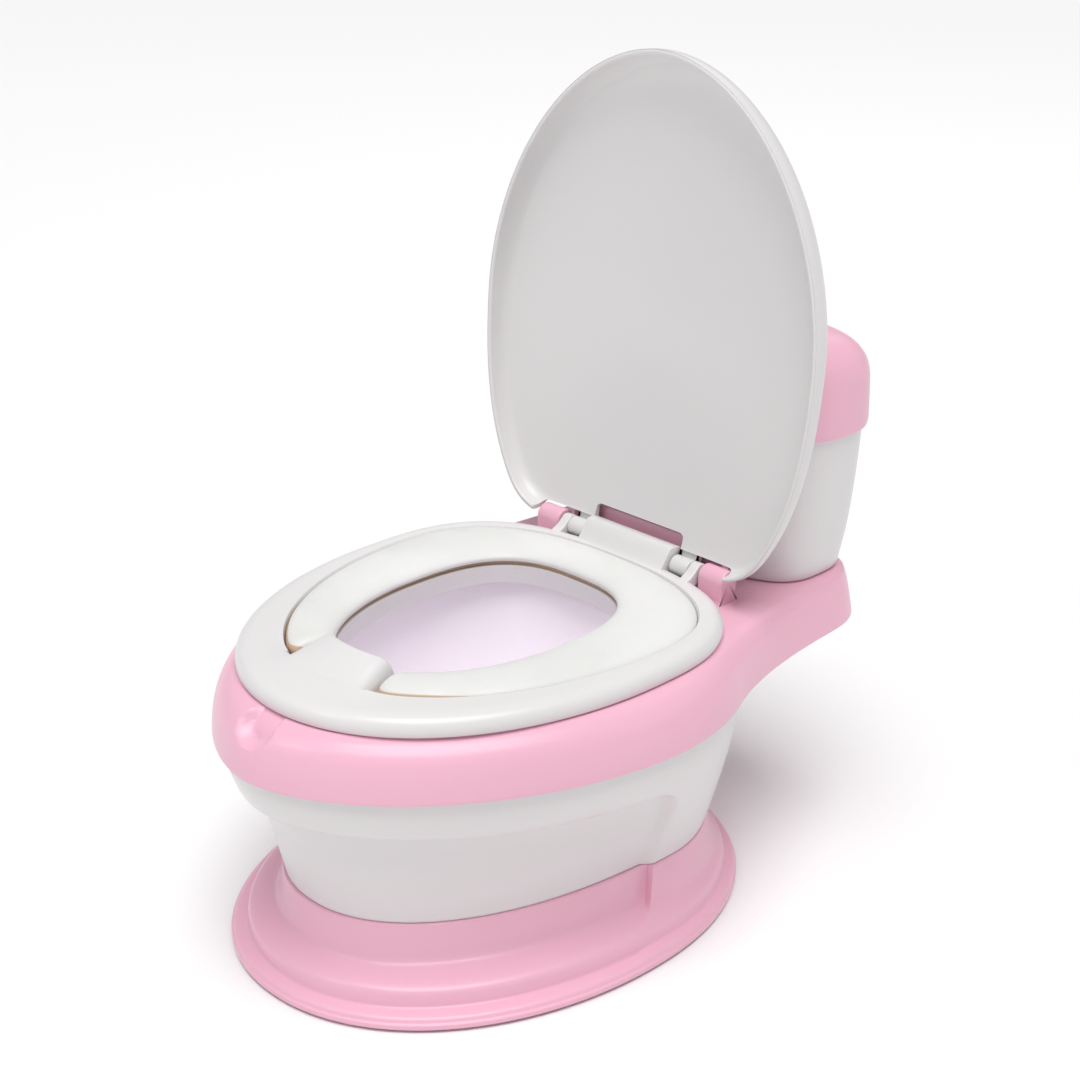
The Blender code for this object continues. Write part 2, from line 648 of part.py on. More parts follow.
def lid_part():
    outer = [lid_surface(scale, edge, dome, 0.0) for scale, edge, dome in LID_DOME]
    inner = [lid_surface(scale, edge, dome, LID_SKIN) for scale, edge, dome in LID_DOME
             if (scale, edge) != (1.0, 0.35)]
    bm = loft(outer[::-1] + inner, ring=False)
    hinge = (0, HINGE_Y, HINGE_Z)
    axis = axis_empty("lid_axis", hinge)
    lid = place("lid", bm, "white", (0, 0, 0), axis)
    lid.location = (0, 0, 0)
    lid.rotation_euler = (-LID_OPEN, 0, 0)
    frame = Matrix.Translation(Vector(hinge) / 1000) @ Matrix.Rotation(-LID_OPEN, 4, "X")
    for half, front in ((CUTOUT_HALF, CUTOUT_FRONT), (MIDDLE_HALF, MIDDLE_FRONT)):
        boolean(lid, box((-half, -front, -30), (half, 30, 30)), "DIFFERENCE", frame)
    arc = [radians(-150 + 20 * i) for i in range(13)]
    arm = [(BARREL_R * cos(a), BARREL_R * sin(a)) for a in arc]
    arm = arm[:11] + [(-9.0, 7.4), (-15.0, 7.6), (-15.0, 5.2), (-9.0, 2.2)]
    for side in (-1, 1):
        ends = sorted((side * EAR_IN, side * EAR_OUT))
        boolean(lid, prism_x(arm, *ends), "UNION", frame)
    hole = rod_x([(PIN_HOLE_R, -60), (PIN_HOLE_R, 60)], 0, 0)
    boolean(lid, hole, "DIFFERENCE", frame)


# ---- pins, screws and feet -----------------------------------------------------------------
def hinge_pins():
    for name, side in (("hinge_pin_left", 1), ("hinge_pin_right", -1)):
        sections = [(PIN_R, side * x) for x in (24.0, POST_OUT - 0.5)]
        place(name, rod_x(sections, HINGE_Y, HINGE_Z, 12), "steel")


SCREW_INDEXES = (6, 18, 30, 42)


def screw_points():
    foot = pedestal_outline(0.0, 0.0, True)
    return [offset(foot, 12.0)[i] for i in SCREW_INDEXES]


def base_screws(base, body):
    holes_in_base, holes_in_body = bmesh.new(), bmesh.new()
    head = PLINTH_TOP - WALL - GAP
    sections = [(4.2, head - 2.6), (4.6, head - 1.2), (4.6, head), (2.0, head), (2.0, 56.0)]
    for number, point in enumerate(screw_points(), start=1):
        turned([(2.4, 38.0), (2.4, 49.0)], point, 10, holes_in_base)
        turned([(2.4, 46.0), (2.4, 56.0)], point, 10, holes_in_body)
        place("base_screw_%d" % number, turned(sections, point, 10), "steel")
    boolean(base, holes_in_base, "DIFFERENCE")
    boolean(body, holes_in_body, "DIFFERENCE")


def foot_pads():
    line = offset(BASE_EDGE.points(TURN), 12.0)
    for number, index in enumerate((3, 12, 20, 28, 36, 45), start=1):
        sections = [(8.0, 0.0), (8.5, 0.6), (8.5, FLOOR_GAP - GAP)]
        place("foot_pad_%d" % number, turned(sections, line[index], 14), "rubber")


def clear_scene():
    for old in list(bpy.data.objects):
        bpy.data.objects.remove(old, do_unlink=True)


def main():
    clear_scene()
    base = base_part()
    body = pedestal_part()
    deck_part()
    tank_parts()
    cushion_parts(seat_parts())
    pot_part()
    lid_part()
    hinge_pins()
    base_screws(base, body)
    foot_pads()


main()
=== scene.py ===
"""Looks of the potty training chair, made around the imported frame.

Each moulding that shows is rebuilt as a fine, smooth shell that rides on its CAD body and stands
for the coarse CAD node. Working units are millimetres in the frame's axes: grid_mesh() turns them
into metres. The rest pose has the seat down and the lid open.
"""
import json

import bmesh
import bpy
import numpy as np
from math import cos, pi, radians, sin
from mathutils import Matrix, Vector


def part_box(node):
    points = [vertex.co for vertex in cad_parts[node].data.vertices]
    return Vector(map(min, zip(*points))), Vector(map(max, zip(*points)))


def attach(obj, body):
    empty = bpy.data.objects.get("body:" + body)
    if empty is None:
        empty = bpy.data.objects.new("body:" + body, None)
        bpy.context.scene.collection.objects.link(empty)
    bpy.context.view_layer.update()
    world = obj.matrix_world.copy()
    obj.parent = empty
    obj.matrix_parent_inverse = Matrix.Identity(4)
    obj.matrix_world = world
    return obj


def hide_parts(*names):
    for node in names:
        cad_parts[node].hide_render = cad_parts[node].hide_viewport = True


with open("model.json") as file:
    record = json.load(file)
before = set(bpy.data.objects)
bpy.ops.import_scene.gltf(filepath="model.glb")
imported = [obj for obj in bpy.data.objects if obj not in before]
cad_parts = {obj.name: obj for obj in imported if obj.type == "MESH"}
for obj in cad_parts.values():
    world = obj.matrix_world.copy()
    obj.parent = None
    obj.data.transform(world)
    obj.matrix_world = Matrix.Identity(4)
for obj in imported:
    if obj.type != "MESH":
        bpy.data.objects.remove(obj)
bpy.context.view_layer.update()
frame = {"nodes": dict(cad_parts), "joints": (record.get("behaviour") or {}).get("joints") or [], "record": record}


# ---- places read from the frame ------------------------------------------------------------
def low(node):
    """Lowest corner of a CAD node's box, in millimetres."""
    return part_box(node)[0] * 1000


def high(node):
    """Highest corner of a CAD node's box, in millimetres."""
    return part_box(node)[1] * 1000


def joint(name):
    return next(j for j in frame["joints"] if j["name"] == name)


HINGE = Vector(joint("lid_hinge")["pos_m"]) * 1000
LID_OPEN = radians(joint("lid_hinge")["range_deg"][1])
FLOOR_GAP = low("base").z
PLINTH_TOP = high("base").z
BODY_BOTTOM = low("bowl_body").z
BODY_TOP = high("bowl_body").z
SKIRT_BOTTOM = low("seat_deck").z
POT_TOP = high("inner_pot").z
RING_FOOT = low("seat_ring").z
GUARD_TOP = high("seat_ring").z
CUSHION_BOTTOM = low("seat_cushion").z
CUSHION_TOP = high("seat_cushion").z
CAP_EDGE = low("tank_cap").z
CAP_TOP = high("tank_cap").z
TANK_TOP = high("tank_body").z
TANK_Y = (low("tank_body").y + high("tank_body").y) / 2

WALL = 2.6                   # moulded wall thickness
DECK_TOP = 172.5             # flat top of the pink rim and platform
LEDGE = RING_FOOT + 2        # ledge that the pot's flange rests on


# ---- outlines ------------------------------------------------------------------------------
FRONT = -pi / 2


def signed_power(value, exponent):
    """A power that keeps the value's sign."""
    return np.sign(value) * np.abs(value) ** exponent


def egg(shape, turn):
    """Points of an egg: half width, front, rear, widest point and two bluntness exponents."""
    half, front, rear, widest, blunt_front, blunt_rear = shape
    c, s = np.cos(turn), np.sin(turn)
    power = 2 / np.where(s < 0, blunt_front, blunt_rear)
    reach = np.where(s < 0, widest - front, rear - widest)
    x, y = half * signed_power(c, power), widest + reach * signed_power(s, power)
    return np.column_stack((x, y))


def even_turn(shape, steps):
    """Angles that space points evenly round an egg, from its front tip."""
    fine = FRONT + 2 * pi * np.arange(7201) / 7200
    path = egg(shape, fine)
    length = np.append(0.0, np.cumsum(np.hypot(*np.diff(path, axis=0).T)))
    return np.interp(np.arange(steps) / steps * length[-1], length, fine)


def relax(points, passes=4):
    """Smooth a closed outline a little, where its formula has a sharp spot."""
    for _ in range(passes):
        points = (np.roll(points, 1, 0) + 2 * points + np.roll(points, -1, 0)) / 4
    return points


def offset(points, inset):
    """Move a closed anticlockwise outline inwards by inset, a number or one for each point."""
    along = np.roll(points, -1, 0) - np.roll(points, 1, 0)
    along = along / np.hypot(along[:, 0], along[:, 1])[:, None]
    inward = np.column_stack((-along[:, 1], along[:, 0]))
    return points + inward * np.reshape(inset, (-1, 1))


def mix(a, b, share):
    """Part of the way from a to b; share is a number or one value for each point."""
    share = np.reshape(share, (-1, 1))
    return a + (b - a) * share


def smooth(value, start, end):
    """0 up to start, 1 from end on, eased between them."""
    t = np.clip((value - start) / (end - start), 0.0, 1.0)
    return t * t * (3 - 2 * t)


def through(x, xs, ys):
    """A smooth curve through the points (xs, ys), read at x."""
    xs, ys = np.array(xs, float), np.array(ys, float)
    slope = np.gradient(ys, xs)
    i = np.clip(np.searchsorted(xs, x, side="right") - 1, 0, len(xs) - 2)
    span = xs[i + 1] - xs[i]
    t = (x - xs[i]) / span
    rise = (1 + 2 * t) * (1 - t) ** 2 * ys[i] + t * t * (3 - 2 * t) * ys[i + 1]
    return rise + span * (t * (1 - t) ** 2 * slope[i] - t * t * (1 - t) * slope[i + 1])


def fillet(corners, step=3.0, turns=5):
    """Points along a line of (across, up, corner length) whose corners are rounded."""
    spots = [np.array(c[:2], float) for c in corners]
    path = [spots[0]]
    for before, here, after, corner in zip(spots, spots[1:], spots[2:], corners[1:]):
        to_before, to_after = before - here, after - here
        start = here + to_before * min(0.5, corner[2] / np.linalg.norm(to_before))
        end = here + to_after * min(0.5, corner[2] / np.linalg.norm(to_after))
        for t in np.linspace(0, 1, turns):
            path.append(start * (1 - t) ** 2 + here * 2 * t * (1 - t) + end * t * t)
    path.append(spots[-1])
    dense = [path[0]]
    for a, b in zip(path, path[1:]):
        parts = max(1, int(np.linalg.norm(b - a) / step))
        dense += [a + (b - a) * k / parts for k in range(1, parts + 1)]
    return np.array(dense)


def level(points, z):
    """Raise an outline to height z, a number or one value for each point."""
    return np.column_stack((points, np.broadcast_to(z, len(points))))


# ---- meshes --------------------------------------------------------------------------------
def grid_mesh(name, rows, ring=False):
    """A closed mesh from equal closed loops of points; a ring joins the last to the first."""
    rows = np.array(rows)
    count, n = rows.shape[:2]
    points = list(map(tuple, rows.reshape(-1, 3) / 1000))
    faces = []
    for r in range(count if ring else count - 1):
        a, b = r * n, (r + 1) % count * n
        faces += [(a + i, a + (i + 1) % n, b + (i + 1) % n, b + i) for i in range(n)]
    if not ring:
        for r in (0, count - 1):
            points.append(tuple(rows[r].mean(0) / 1000))
            hub = len(points) - 1
            faces += [(r * n + i, r * n + (i + 1) % n, hub) for i in range(n)]
    mesh = bpy.data.meshes.new(name)
    mesh.from_pydata(points, [], faces)
    tidy_mesh(mesh)
    return mesh


def tidy_mesh(mesh):
    """Merge doubled points, turn faces outwards and shade smooth with crisp sharp edges."""
    bm = bmesh.new()
    bm.from_mesh(mesh)
    bmesh.ops.remove_doubles(bm, verts=bm.verts, dist=1e-6)
    bmesh.ops.dissolve_degenerate(bm, dist=1e-6, edges=bm.edges)
    bmesh.ops.recalc_face_normals(bm, faces=bm.faces)
    bm.to_mesh(mesh)
    bm.free()
    mesh.shade_smooth()
    mesh.set_sharp_from_angle(angle=radians(38))


def add(name, mesh):
    """Put a mesh into the scene as a piece."""
    piece = bpy.data.objects.new(name, mesh)
    bpy.context.collection.objects.link(piece)
    return piece


def combine(piece, tool_mesh, operation):
    """Join or cut a piece with a closed tool mesh, and keep the result as its mesh."""
    tool = add(piece.name + "_tool", tool_mesh)
    modifier = piece.modifiers.new("tool", "BOOLEAN")
    modifier.operation = operation
    modifier.solver = "MANIFOLD"
    modifier.object = tool
    result = piece.evaluated_get(bpy.context.evaluated_depsgraph_get())
    mesh = bpy.data.meshes.new_from_object(result)
    piece.modifiers.clear()
    piece.data = mesh
    bpy.data.objects.remove(tool)
    tidy_mesh(mesh)


def rounded_prism(profile, x_low, x_high, radius):
    """Extrude an anticlockwise (y, z) profile along X, with rounded end edges."""
    profile = np.array(profile)
    ends = []
    for angle in np.linspace(0, pi / 2, 5):
        ends.append((radius * (1 - sin(angle)), radius * (1 - cos(angle))))
    sections = [(inset, x_low + step) for inset, step in ends]
    sections += [(inset, x_high - step) for inset, step in ends[::-1]]
    rows = []
    for inset, x in sections:
        outline = offset(profile, inset)
        rows.append(np.column_stack((np.full(len(outline), x), outline)))
    return grid_mesh("prism", rows)


def arc_points(centre, radius, start, end, steps):
    """Points on an arc in the (y, z) plane, with angles in degrees."""
    turn = np.radians(np.linspace(start, end, steps))
    return [(centre[0] + radius * cos(a), centre[1] + radius * sin(a)) for a in turn]


def box_mesh(low_corner, high_corner):
    """A closed box between two corners."""
    (x0, y0, z0), (x1, y1, z1) = low_corner, high_corner
    square = np.array([(x0, y0), (x1, y0), (x1, y1), (x0, y1)], float)
    return grid_mesh("box", [level(square, z0), level(square, z1)])


def finish_piece(piece, body, slot, material, *nodes):
    """Give a finished piece its body, material and the nodes it stands for; its slot is not used."""
    piece.data.materials.clear()
    piece.data.materials.append(material)
    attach(piece, body)
    if nodes:
        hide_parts(*nodes)
    return piece


# ---- materials -----------------------------------------------------------------------------
class Nodes:
    """A short way to write a shader's node tree."""

    def __init__(self, name):
        self.material = bpy.data.materials.new(name)
        self.material.use_nodes = True
        self.tree = self.material.node_tree
        self.shader = self.tree.nodes["Principled BSDF"]
        self.place = self.add("ShaderNodeTexCoord").outputs["Object"]

    def add(self, kind, **settings):
        node = self.tree.nodes.new(kind)
        for key, value in settings.items():
            setattr(node, key, value)
        return node

    def link(self, start, end):
        self.tree.links.new(start, end)

    def set(self, **values):
        for key, value in values.items():
            self.shader.inputs[key.replace("_", " ")].default_value = value

    def noise(self, scale, detail=2.0, roughness=0.5, stretch=(1, 1, 1)):
        """Soft noise with features of about 1/scale metres."""
        spread = self.add("ShaderNodeMapping")
        spread.inputs["Scale"].default_value = stretch
        self.link(self.place, spread.inputs["Vector"])
        texture = self.add("ShaderNodeTexNoise")
        texture.inputs["Scale"].default_value = scale
        texture.inputs["Detail"].default_value = detail
        texture.inputs["Roughness"].default_value = roughness
        self.link(spread.outputs["Vector"], texture.inputs["Vector"])
        return texture.outputs["Fac"]

    def cells(self, scale):
        """Small rounded cells, as in a fine leather grain."""
        texture = self.add("ShaderNodeTexVoronoi", feature="SMOOTH_F1")
        texture.inputs["Scale"].default_value = scale
        texture.inputs["Smoothness"].default_value = 0.6
        self.link(self.place, texture.inputs["Vector"])
        return texture.outputs["Distance"]

    def spread(self, value, from_low, from_high, to_low, to_high):
        """Carry one range over to another, eased at both ends."""
        node = self.add("ShaderNodeMapRange", interpolation_type="SMOOTHSTEP")
        for key, number in (("From Min", from_low), ("From Max", from_high),
                            ("To Min", to_low), ("To Max", to_high)):
            node.inputs[key].default_value = number
        self.link(value, node.inputs["Value"])
        return node.outputs["Result"]

    def blend(self, factor, first, second):
        """A colour between two, each a colour or an output."""
        node = self.add("ShaderNodeMix", data_type="RGBA")
        self.link(factor, node.inputs["Factor"])
        for key, value in (("A", first), ("B", second)):
            socket = next(s for s in node.inputs if s.name == key and s.type == "RGBA")
            if isinstance(value, tuple):
                socket.default_value = (*value, 1.0)
            else:
                self.link(value, socket)
        return next(s for s in node.outputs if s.type == "RGBA")

    def bump(self, height, distance, after=None):
        """Relief of the given depth in metres, on top of another one if it follows it."""
        node = self.add("ShaderNodeBump")
        node.inputs["Distance"].default_value = distance
        node.inputs["Strength"].default_value = 1.0
        self.link(height, node.inputs["Height"])
        if after:
            self.link(after, node.inputs["Normal"])
        return node.outputs["Normal"]


def tint(colour, factor):
    """A colour made darker or lighter by a factor."""
    return tuple(min(1.0, c * factor) for c in colour)


def moulded(name, colour, roughness, glow, glow_radius, painted_glow=0.0):
    """Injection-moulded polypropylene: slight clouding and a faint orange peel.

    painted_glow is a painted glow in the plastic's own colour, which lifts a shaded part; only the pot has one.
    """
    n = Nodes(name)
    cloud = n.spread(n.noise(7.0, 0.0), 0.1, 0.9, 0.0, 1.0)
    n.link(n.blend(cloud, tint(colour, 0.98), tint(colour, 1.015)), n.shader.inputs["Base Color"])
    smear = n.spread(n.noise(15.0, 0.0), 0.1, 0.9, roughness - 0.015, roughness + 0.015)
    n.link(smear, n.shader.inputs["Roughness"])
    n.link(n.bump(n.noise(2400.0, 1.0), 0.000003), n.shader.inputs["Normal"])
    # the emission is a painted glow, used only by the pot
    n.set(IOR=1.49, Subsurface_Weight=glow, Subsurface_Radius=glow_radius, Subsurface_Scale=0.004,
          Emission_Color=(*colour, 1.0), Emission_Strength=painted_glow)
    return n.material


CUSHION_SHADES = (0.745, 0.75, 0.735), (0.79, 0.795, 0.785)
CUSHION_EDGE_SHADE = (0.60, 0.42, 0.29)    # painted warm shade along the cushion's lower edge, where it sits in the ring's recess
EDGE_SHADE_FADE = (0.1797, 0.1805)         # heights over which it fades, metres
EDGE_SHADE_OVAL = (1.22, 1.0, 0.0)         # measures distance from the middle as in an oval
EDGE_SHADE_OUTER = (0.137, 0.150)          # distances over which the painted shade rises, metres
EDGE_SHADE_RISE = 0.0042                   # how much higher it shows there, metres


def cushion_skin():
    """Skinned polyurethane foam: satin, softly uneven, finely grained, with a painted warm shade at its lower
    edge.
    """
    n = Nodes("pu_cushion")
    cloud = n.spread(n.noise(14.0, 3.0), 0.35, 0.65, 0.0, 1.0)
    skin = n.blend(cloud, *CUSHION_SHADES)
    height = n.add("ShaderNodeSeparateXYZ")
    n.link(n.place, height.inputs["Vector"])
    flat = n.add("ShaderNodeMapping")
    flat.inputs["Scale"].default_value = EDGE_SHADE_OVAL
    n.link(n.place, flat.inputs["Vector"])
    reach = n.add("ShaderNodeVectorMath", operation="LENGTH")
    n.link(flat.outputs["Vector"], reach.inputs[0])
    rise = n.spread(reach.outputs["Value"], *EDGE_SHADE_OUTER, 0.0, EDGE_SHADE_RISE)
    above = n.add("ShaderNodeMath", operation="SUBTRACT")
    n.link(height.outputs["Z"], above.inputs[0])
    n.link(rise, above.inputs[1])
    # painted warm shade at the cushion's lower edge, reaching higher towards its outer side
    painted_shade = n.spread(above.outputs["Value"], *EDGE_SHADE_FADE, 1.0, 0.0)
    n.link(n.blend(painted_shade, skin, CUSHION_EDGE_SHADE), n.shader.inputs["Base Color"])
    n.link(n.spread(n.noise(80.0, 3.0), 0.3, 0.7, 0.40, 0.54), n.shader.inputs["Roughness"])
    swell = n.bump(n.noise(28.0, 2.0), 0.0006)
    grain = n.bump(n.cells(900.0), 0.00005, after=swell)
    n.link(n.bump(n.noise(1900.0, 2.0), 0.00002, after=grain), n.shader.inputs["Normal"])
    n.set(IOR=1.45, Subsurface_Weight=0.2, Subsurface_Radius=(1.0, 0.85, 0.7),
          Subsurface_Scale=0.003)
    return n.material


def turned_steel():
    """Zinc-plated steel with fine marks round its axis."""
    n = Nodes("zinc_steel")
    marks = n.noise(900.0, 3.0, 0.6, (6.0, 1.0, 1.0))
    n.link(n.blend(marks, (0.52, 0.53, 0.55), (0.68, 0.69, 0.70)), n.shader.inputs["Base Color"])
    n.link(n.spread(marks, 0.3, 0.7, 0.22, 0.42), n.shader.inputs["Roughness"])
    n.link(n.bump(marks, 0.00001), n.shader.inputs["Normal"])
    n.set(Metallic=1.0)
    return n.material


def soft_rubber():
    """Milky soft rubber with a matt, dusty surface."""
    n = Nodes("soft_rubber")
    dust = n.spread(n.noise(300.0, 4.0, 0.6), 0.4, 0.7, 0.0, 1.0)
    n.link(n.blend(dust, (0.70, 0.70, 0.69), (0.60, 0.59, 0.57)), n.shader.inputs["Base Color"])
    n.link(n.spread(dust, 0.0, 1.0, 0.62, 0.85), n.shader.inputs["Roughness"])
    n.link(n.bump(n.noise(1500.0, 3.0), 0.00004), n.shader.inputs["Normal"])
    n.set(Subsurface_Weight=0.1, Subsurface_Radius=(1.0, 0.9, 0.8), Subsurface_Scale=0.002)
    return n.material


def backing_board():
    """Matt tan backing of the cushion, with a fine flow grain."""
    n = Nodes("backing_plastic")
    flow = n.noise(120.0, 4.0, 0.6, (1.0, 0.2, 1.0))
    n.link(n.blend(flow, (0.50, 0.36, 0.25), (0.62, 0.46, 0.33)), n.shader.inputs["Base Color"])
    n.link(n.spread(flow, 0.3, 0.7, 0.5, 0.65), n.shader.inputs["Roughness"])
    n.link(n.bump(n.noise(900.0, 2.0), 0.00003), n.shader.inputs["Normal"])
    return n.material


# name, colour, roughness, weight and radius of the light under the surface
PINK = moulded("pink_plastic", (0.87, 0.48, 0.61), 0.30, 0.10, (1.0, 0.45, 0.5))
WHITE = moulded("white_plastic", (0.76, 0.745, 0.745), 0.30, 0.0, (1.0, 0.9, 0.85))
# the pot's last number is a painted glow that lifts its shaded inside
POT = moulded("pot_plastic", (0.95, 0.885, 0.955), 0.38, 0.30, (1.0, 0.8, 1.0), 0.09)
CUSHION = cushion_skin()
STEEL = turned_steel()
RUBBER = soft_rubber()
BACKING = backing_board()


# ---- base ----------------------------------------------------------------------------------
FOOT = (106.9, -173.3, 100.6, 12.0, 2.13, 1.97)
BASE_EDGE = (132.0, -199.8, 126.0, -24.0, 2.07, 2.12)
RIM = (142.5, -210.2, 121.2, -22.1, 1.77, 2.04)
BODY_TURN = even_turn(RIM, 420)
PANEL_DEPTH = 5.0            # recessed panel of pedestal and plinth
PANEL_TOP = 107.0            # height of its ledge at y = 0; it climbs towards the front
PANEL_CLIMB = 0.04
PANEL_END = -8.0             # y where the panel ends
PANEL_CORNER = 20.0
PANEL_SOFT = 1.6             # half the width of its rounded step
PANEL_SIDE_SOFT = 2.4        # how much softer the step is at the panel's end
PANEL_COVE = 0.7             # share by which it is deeper just under its ledge
COVE_FADE = 10.0             # height over which that fades


def panel_top(y):
    return PANEL_TOP - PANEL_CLIMB * y


def panel_share(y, z):
    """1 inside the recessed panel, 0 outside it, with a rounded upper rear corner."""
    beyond_y = y - PANEL_END + PANEL_CORNER
    beyond_z = z - panel_top(y) + PANEL_CORNER
    outside = np.hypot(np.maximum(beyond_y, 0), np.maximum(beyond_z, 0))
    distance = outside + np.minimum(np.maximum(beyond_y, beyond_z), 0) - PANEL_CORNER
    soft = PANEL_SOFT + PANEL_SIDE_SOFT * smooth(beyond_y - beyond_z, -10, 10)
    return 1 - smooth(distance, -soft, soft)


PLINTH_FRONT = [             # share of the way from foot to edge, z, corner length: in the panel
    (-0.20, PLINTH_TOP, 0), (-0.13, PLINTH_TOP, 1.2), (-0.10, 38, 8), (0.0, 27, 6), (0.16, 24, 5),
    (0.52, 20.5, 3.5), (0.635, 18, 2.2), (0.66, 9.4, 1.5), (0.92, 7.6, 2.0), (0.955, 5.0, 0.8),
    (1.0, 4.6, 0.7), (1.0, FLOOR_GAP, 0.6), (0.9, FLOOR_GAP, 0),
]
PLINTH_REAR = [              # the same points behind the panel
    (-0.05, PLINTH_TOP, 0), (0.03, PLINTH_TOP, 1.2), (0.12, 38, 8), (0.27, 27, 6), (0.36, 24, 5),
    (0.54, 20, 3.5), (0.615, 17, 2.5), (0.65, 10.4, 1.5), (0.92, 8.4, 2.0), (0.955, 5.2, 0.8),
    (1.0, 4.6, 0.7), (1.0, FLOOR_GAP, 0.6), (0.9, FLOOR_GAP, 0),
]
PLINTH_SPAN = 25.0           # mean distance from foot to edge
RIM_UNDER = 23.0             # width of the flat underside
UNDER_TOP = 6.5              # height at which that underside's inner side ends


def base_profile(corners):
    """Points down the plinth's side and round its edge, as (millimetres outwards, z)."""
    return fillet([(share * PLINTH_SPAN, z, r) for share, z, r in corners], turns=7, step=400)


def base_piece():
    foot = relax(egg(FOOT, BODY_TURN))
    edge = relax(egg(BASE_EDGE, BODY_TURN))
    inside = panel_share(foot[:, 1], PLINTH_TOP)
    rows = []
    for front, rear in zip(base_profile(PLINTH_FRONT), base_profile(PLINTH_REAR)):
        share = (rear[0] + (front[0] - rear[0]) * inside) / PLINTH_SPAN
        rows.append(level(mix(foot, edge, share), rear[1] + (front[1] - rear[1]) * inside))
    shell = PANEL_DEPTH + WALL
    under = fillet([(2, FLOOR_GAP, 0), (RIM_UNDER, FLOOR_GAP, 0.8),
                    (RIM_UNDER, UNDER_TOP, 0)])
    rows += [level(offset(edge, inset), z) for inset, z in under]
    ceiling = PLINTH_TOP - WALL
    for share, z in ((0.2, 24.0), (0.1, 34.0), (0.0, ceiling - 2), (-0.06, ceiling)):
        rows.append(level(offset(mix(foot, edge, share), shell), z))
    return add("base_shell", grid_mesh("base_shell", rows))


# ---- pedestal ------------------------------------------------------------------------------
PEDESTAL_Z = (BODY_BOTTOM, 60, 72, 84, 95, 106, 118, 129, SKIRT_BOTTOM)
PEDESTAL_FRONT = (0, 0.10, 0.20, 0.31, 0.43, 0.60, 0.80, 0.93, 1.0)    # share from foot to rim
PEDESTAL_REAR = (0, 0.20, 0.37, 0.53, 0.665, 0.78, 0.89, 0.96, 1.0)
PEDESTAL_FADE = (-60, 70)    # y over which the front's shares give way to the rear's
BODY_INSET = 4.3             # its top lies this far inside the rim
BODY_FLANGE = 24.0           # how far its foot turns inwards


def pedestal_outline(z):
    """The pedestal's outer outline at height z, with the recessed panel in it."""
    foot = relax(egg(FOOT, BODY_TURN))
    rim = offset(relax(egg(RIM, BODY_TURN)), BODY_INSET)
    front = through(z, PEDESTAL_Z, PEDESTAL_FRONT)
    rear = through(z, PEDESTAL_Z, PEDESTAL_REAR)
    outline = mix(foot, rim, front + (rear - front) * smooth(foot[:, 1], *PEDESTAL_FADE))
    y = outline[:, 1]
    cove = 1 + PANEL_COVE * np.exp(-np.maximum(panel_top(y) - z, 0) / COVE_FADE)
    return offset(outline, PANEL_DEPTH * cove * panel_share(y, z))


def pedestal_piece():
    heights = list(np.arange(BODY_BOTTOM + 1.0, SKIRT_BOTTOM, 0.8)) + [SKIRT_BOTTOM]
    outer = [level(offset(pedestal_outline(heights[0]), 0.6), BODY_BOTTOM)]
    outer += [level(pedestal_outline(z), z) for z in heights]
    top = pedestal_outline(SKIRT_BOTTOM)
    outer += [level(offset(top, 1.2), BODY_TOP - 1), level(offset(top, 1.8), BODY_TOP)]
    inner = [level(offset(top, 1.2 + WALL), BODY_TOP)]
    inner += [level(offset(pedestal_outline(z), WALL), z) for z in heights[::-9]]
    inner.append(level(offset(pedestal_outline(heights[0]), WALL), BODY_BOTTOM + 3))
    foot = offset(relax(egg(FOOT, BODY_TURN)), BODY_FLANGE)
    flange = [level(foot, BODY_BOTTOM + 3), level(foot, BODY_BOTTOM)]
    return add("pedestal_shell", grid_mesh("pedestal_shell", outer + inner + flange, ring=True))


# ---- rim and platform ----------------------------------------------------------------------
POT_FLANGE = (91.5, -160.0, 60.0, -42.0, 2.0, 2.2)
NECK_START = 40.0            # y where the outline leaves the rim's egg for the platform
NECK_HALF = 101.0            # half width that the platform tends to
NECK_FADE = 57.0             # length over which it gets there
HEAD_END = 25.8              # degrees of the rim's egg at which the neck takes over
PLATFORM_REAR = 210.4
PLATFORM_ROUND = 150.0       # y where the platform's rear corners begin
PLATFORM_BLUNT = 3           # bluntness of those corners
DECK_STEPS = 760             # points round the outline
DECK_Z = (SKIRT_BOTTOM, 150.0, 158.0, 164.0, 168.0, 171.2, DECK_TOP)
RIM_INSET = (0.0, 0.8, 2.6, 5.4, 8.8, 13.4, 17.0)
PLATFORM_INSET = (0.0, 1.5, 3.0, 4.4, 5.6, 7.4, 10.0)
NOTCH_HALF, NOTCH_HIGH = 16.5, 13.0  # half-round finger notch in the front of the rim
NOTCH_TOP, NOTCH_DEPTH = 171.0, 9.0
NOTCH_FLAT = 0.76            # share of its radius that has the full depth
POST_IN, POST_OUT = 58.5, 77.0       # hinge posts
POST_R, POST_BACK = 7.1, 1.4         # radius of their tops, which sit behind the hinge axis
FOOT_FLARE = ((2.0, -2.4), (2.0, 0.0), (0.6, 1.4), (0.0, 3.0))  # out and up, at a foot on the deck
RAIL_HALF, RAIL_TOP = 62.0, 195.0    # upright rail behind the hinge
RAIL_FRONT, RAIL_REAR = 99.5, 105.5
TONGUE_HALF, TONGUE_TOP = 43.0, 199.0    # its raised middle, seen through the lid's cutout
SPIGOT = (32.0, 15.0)        # half sizes of the plug under the tank


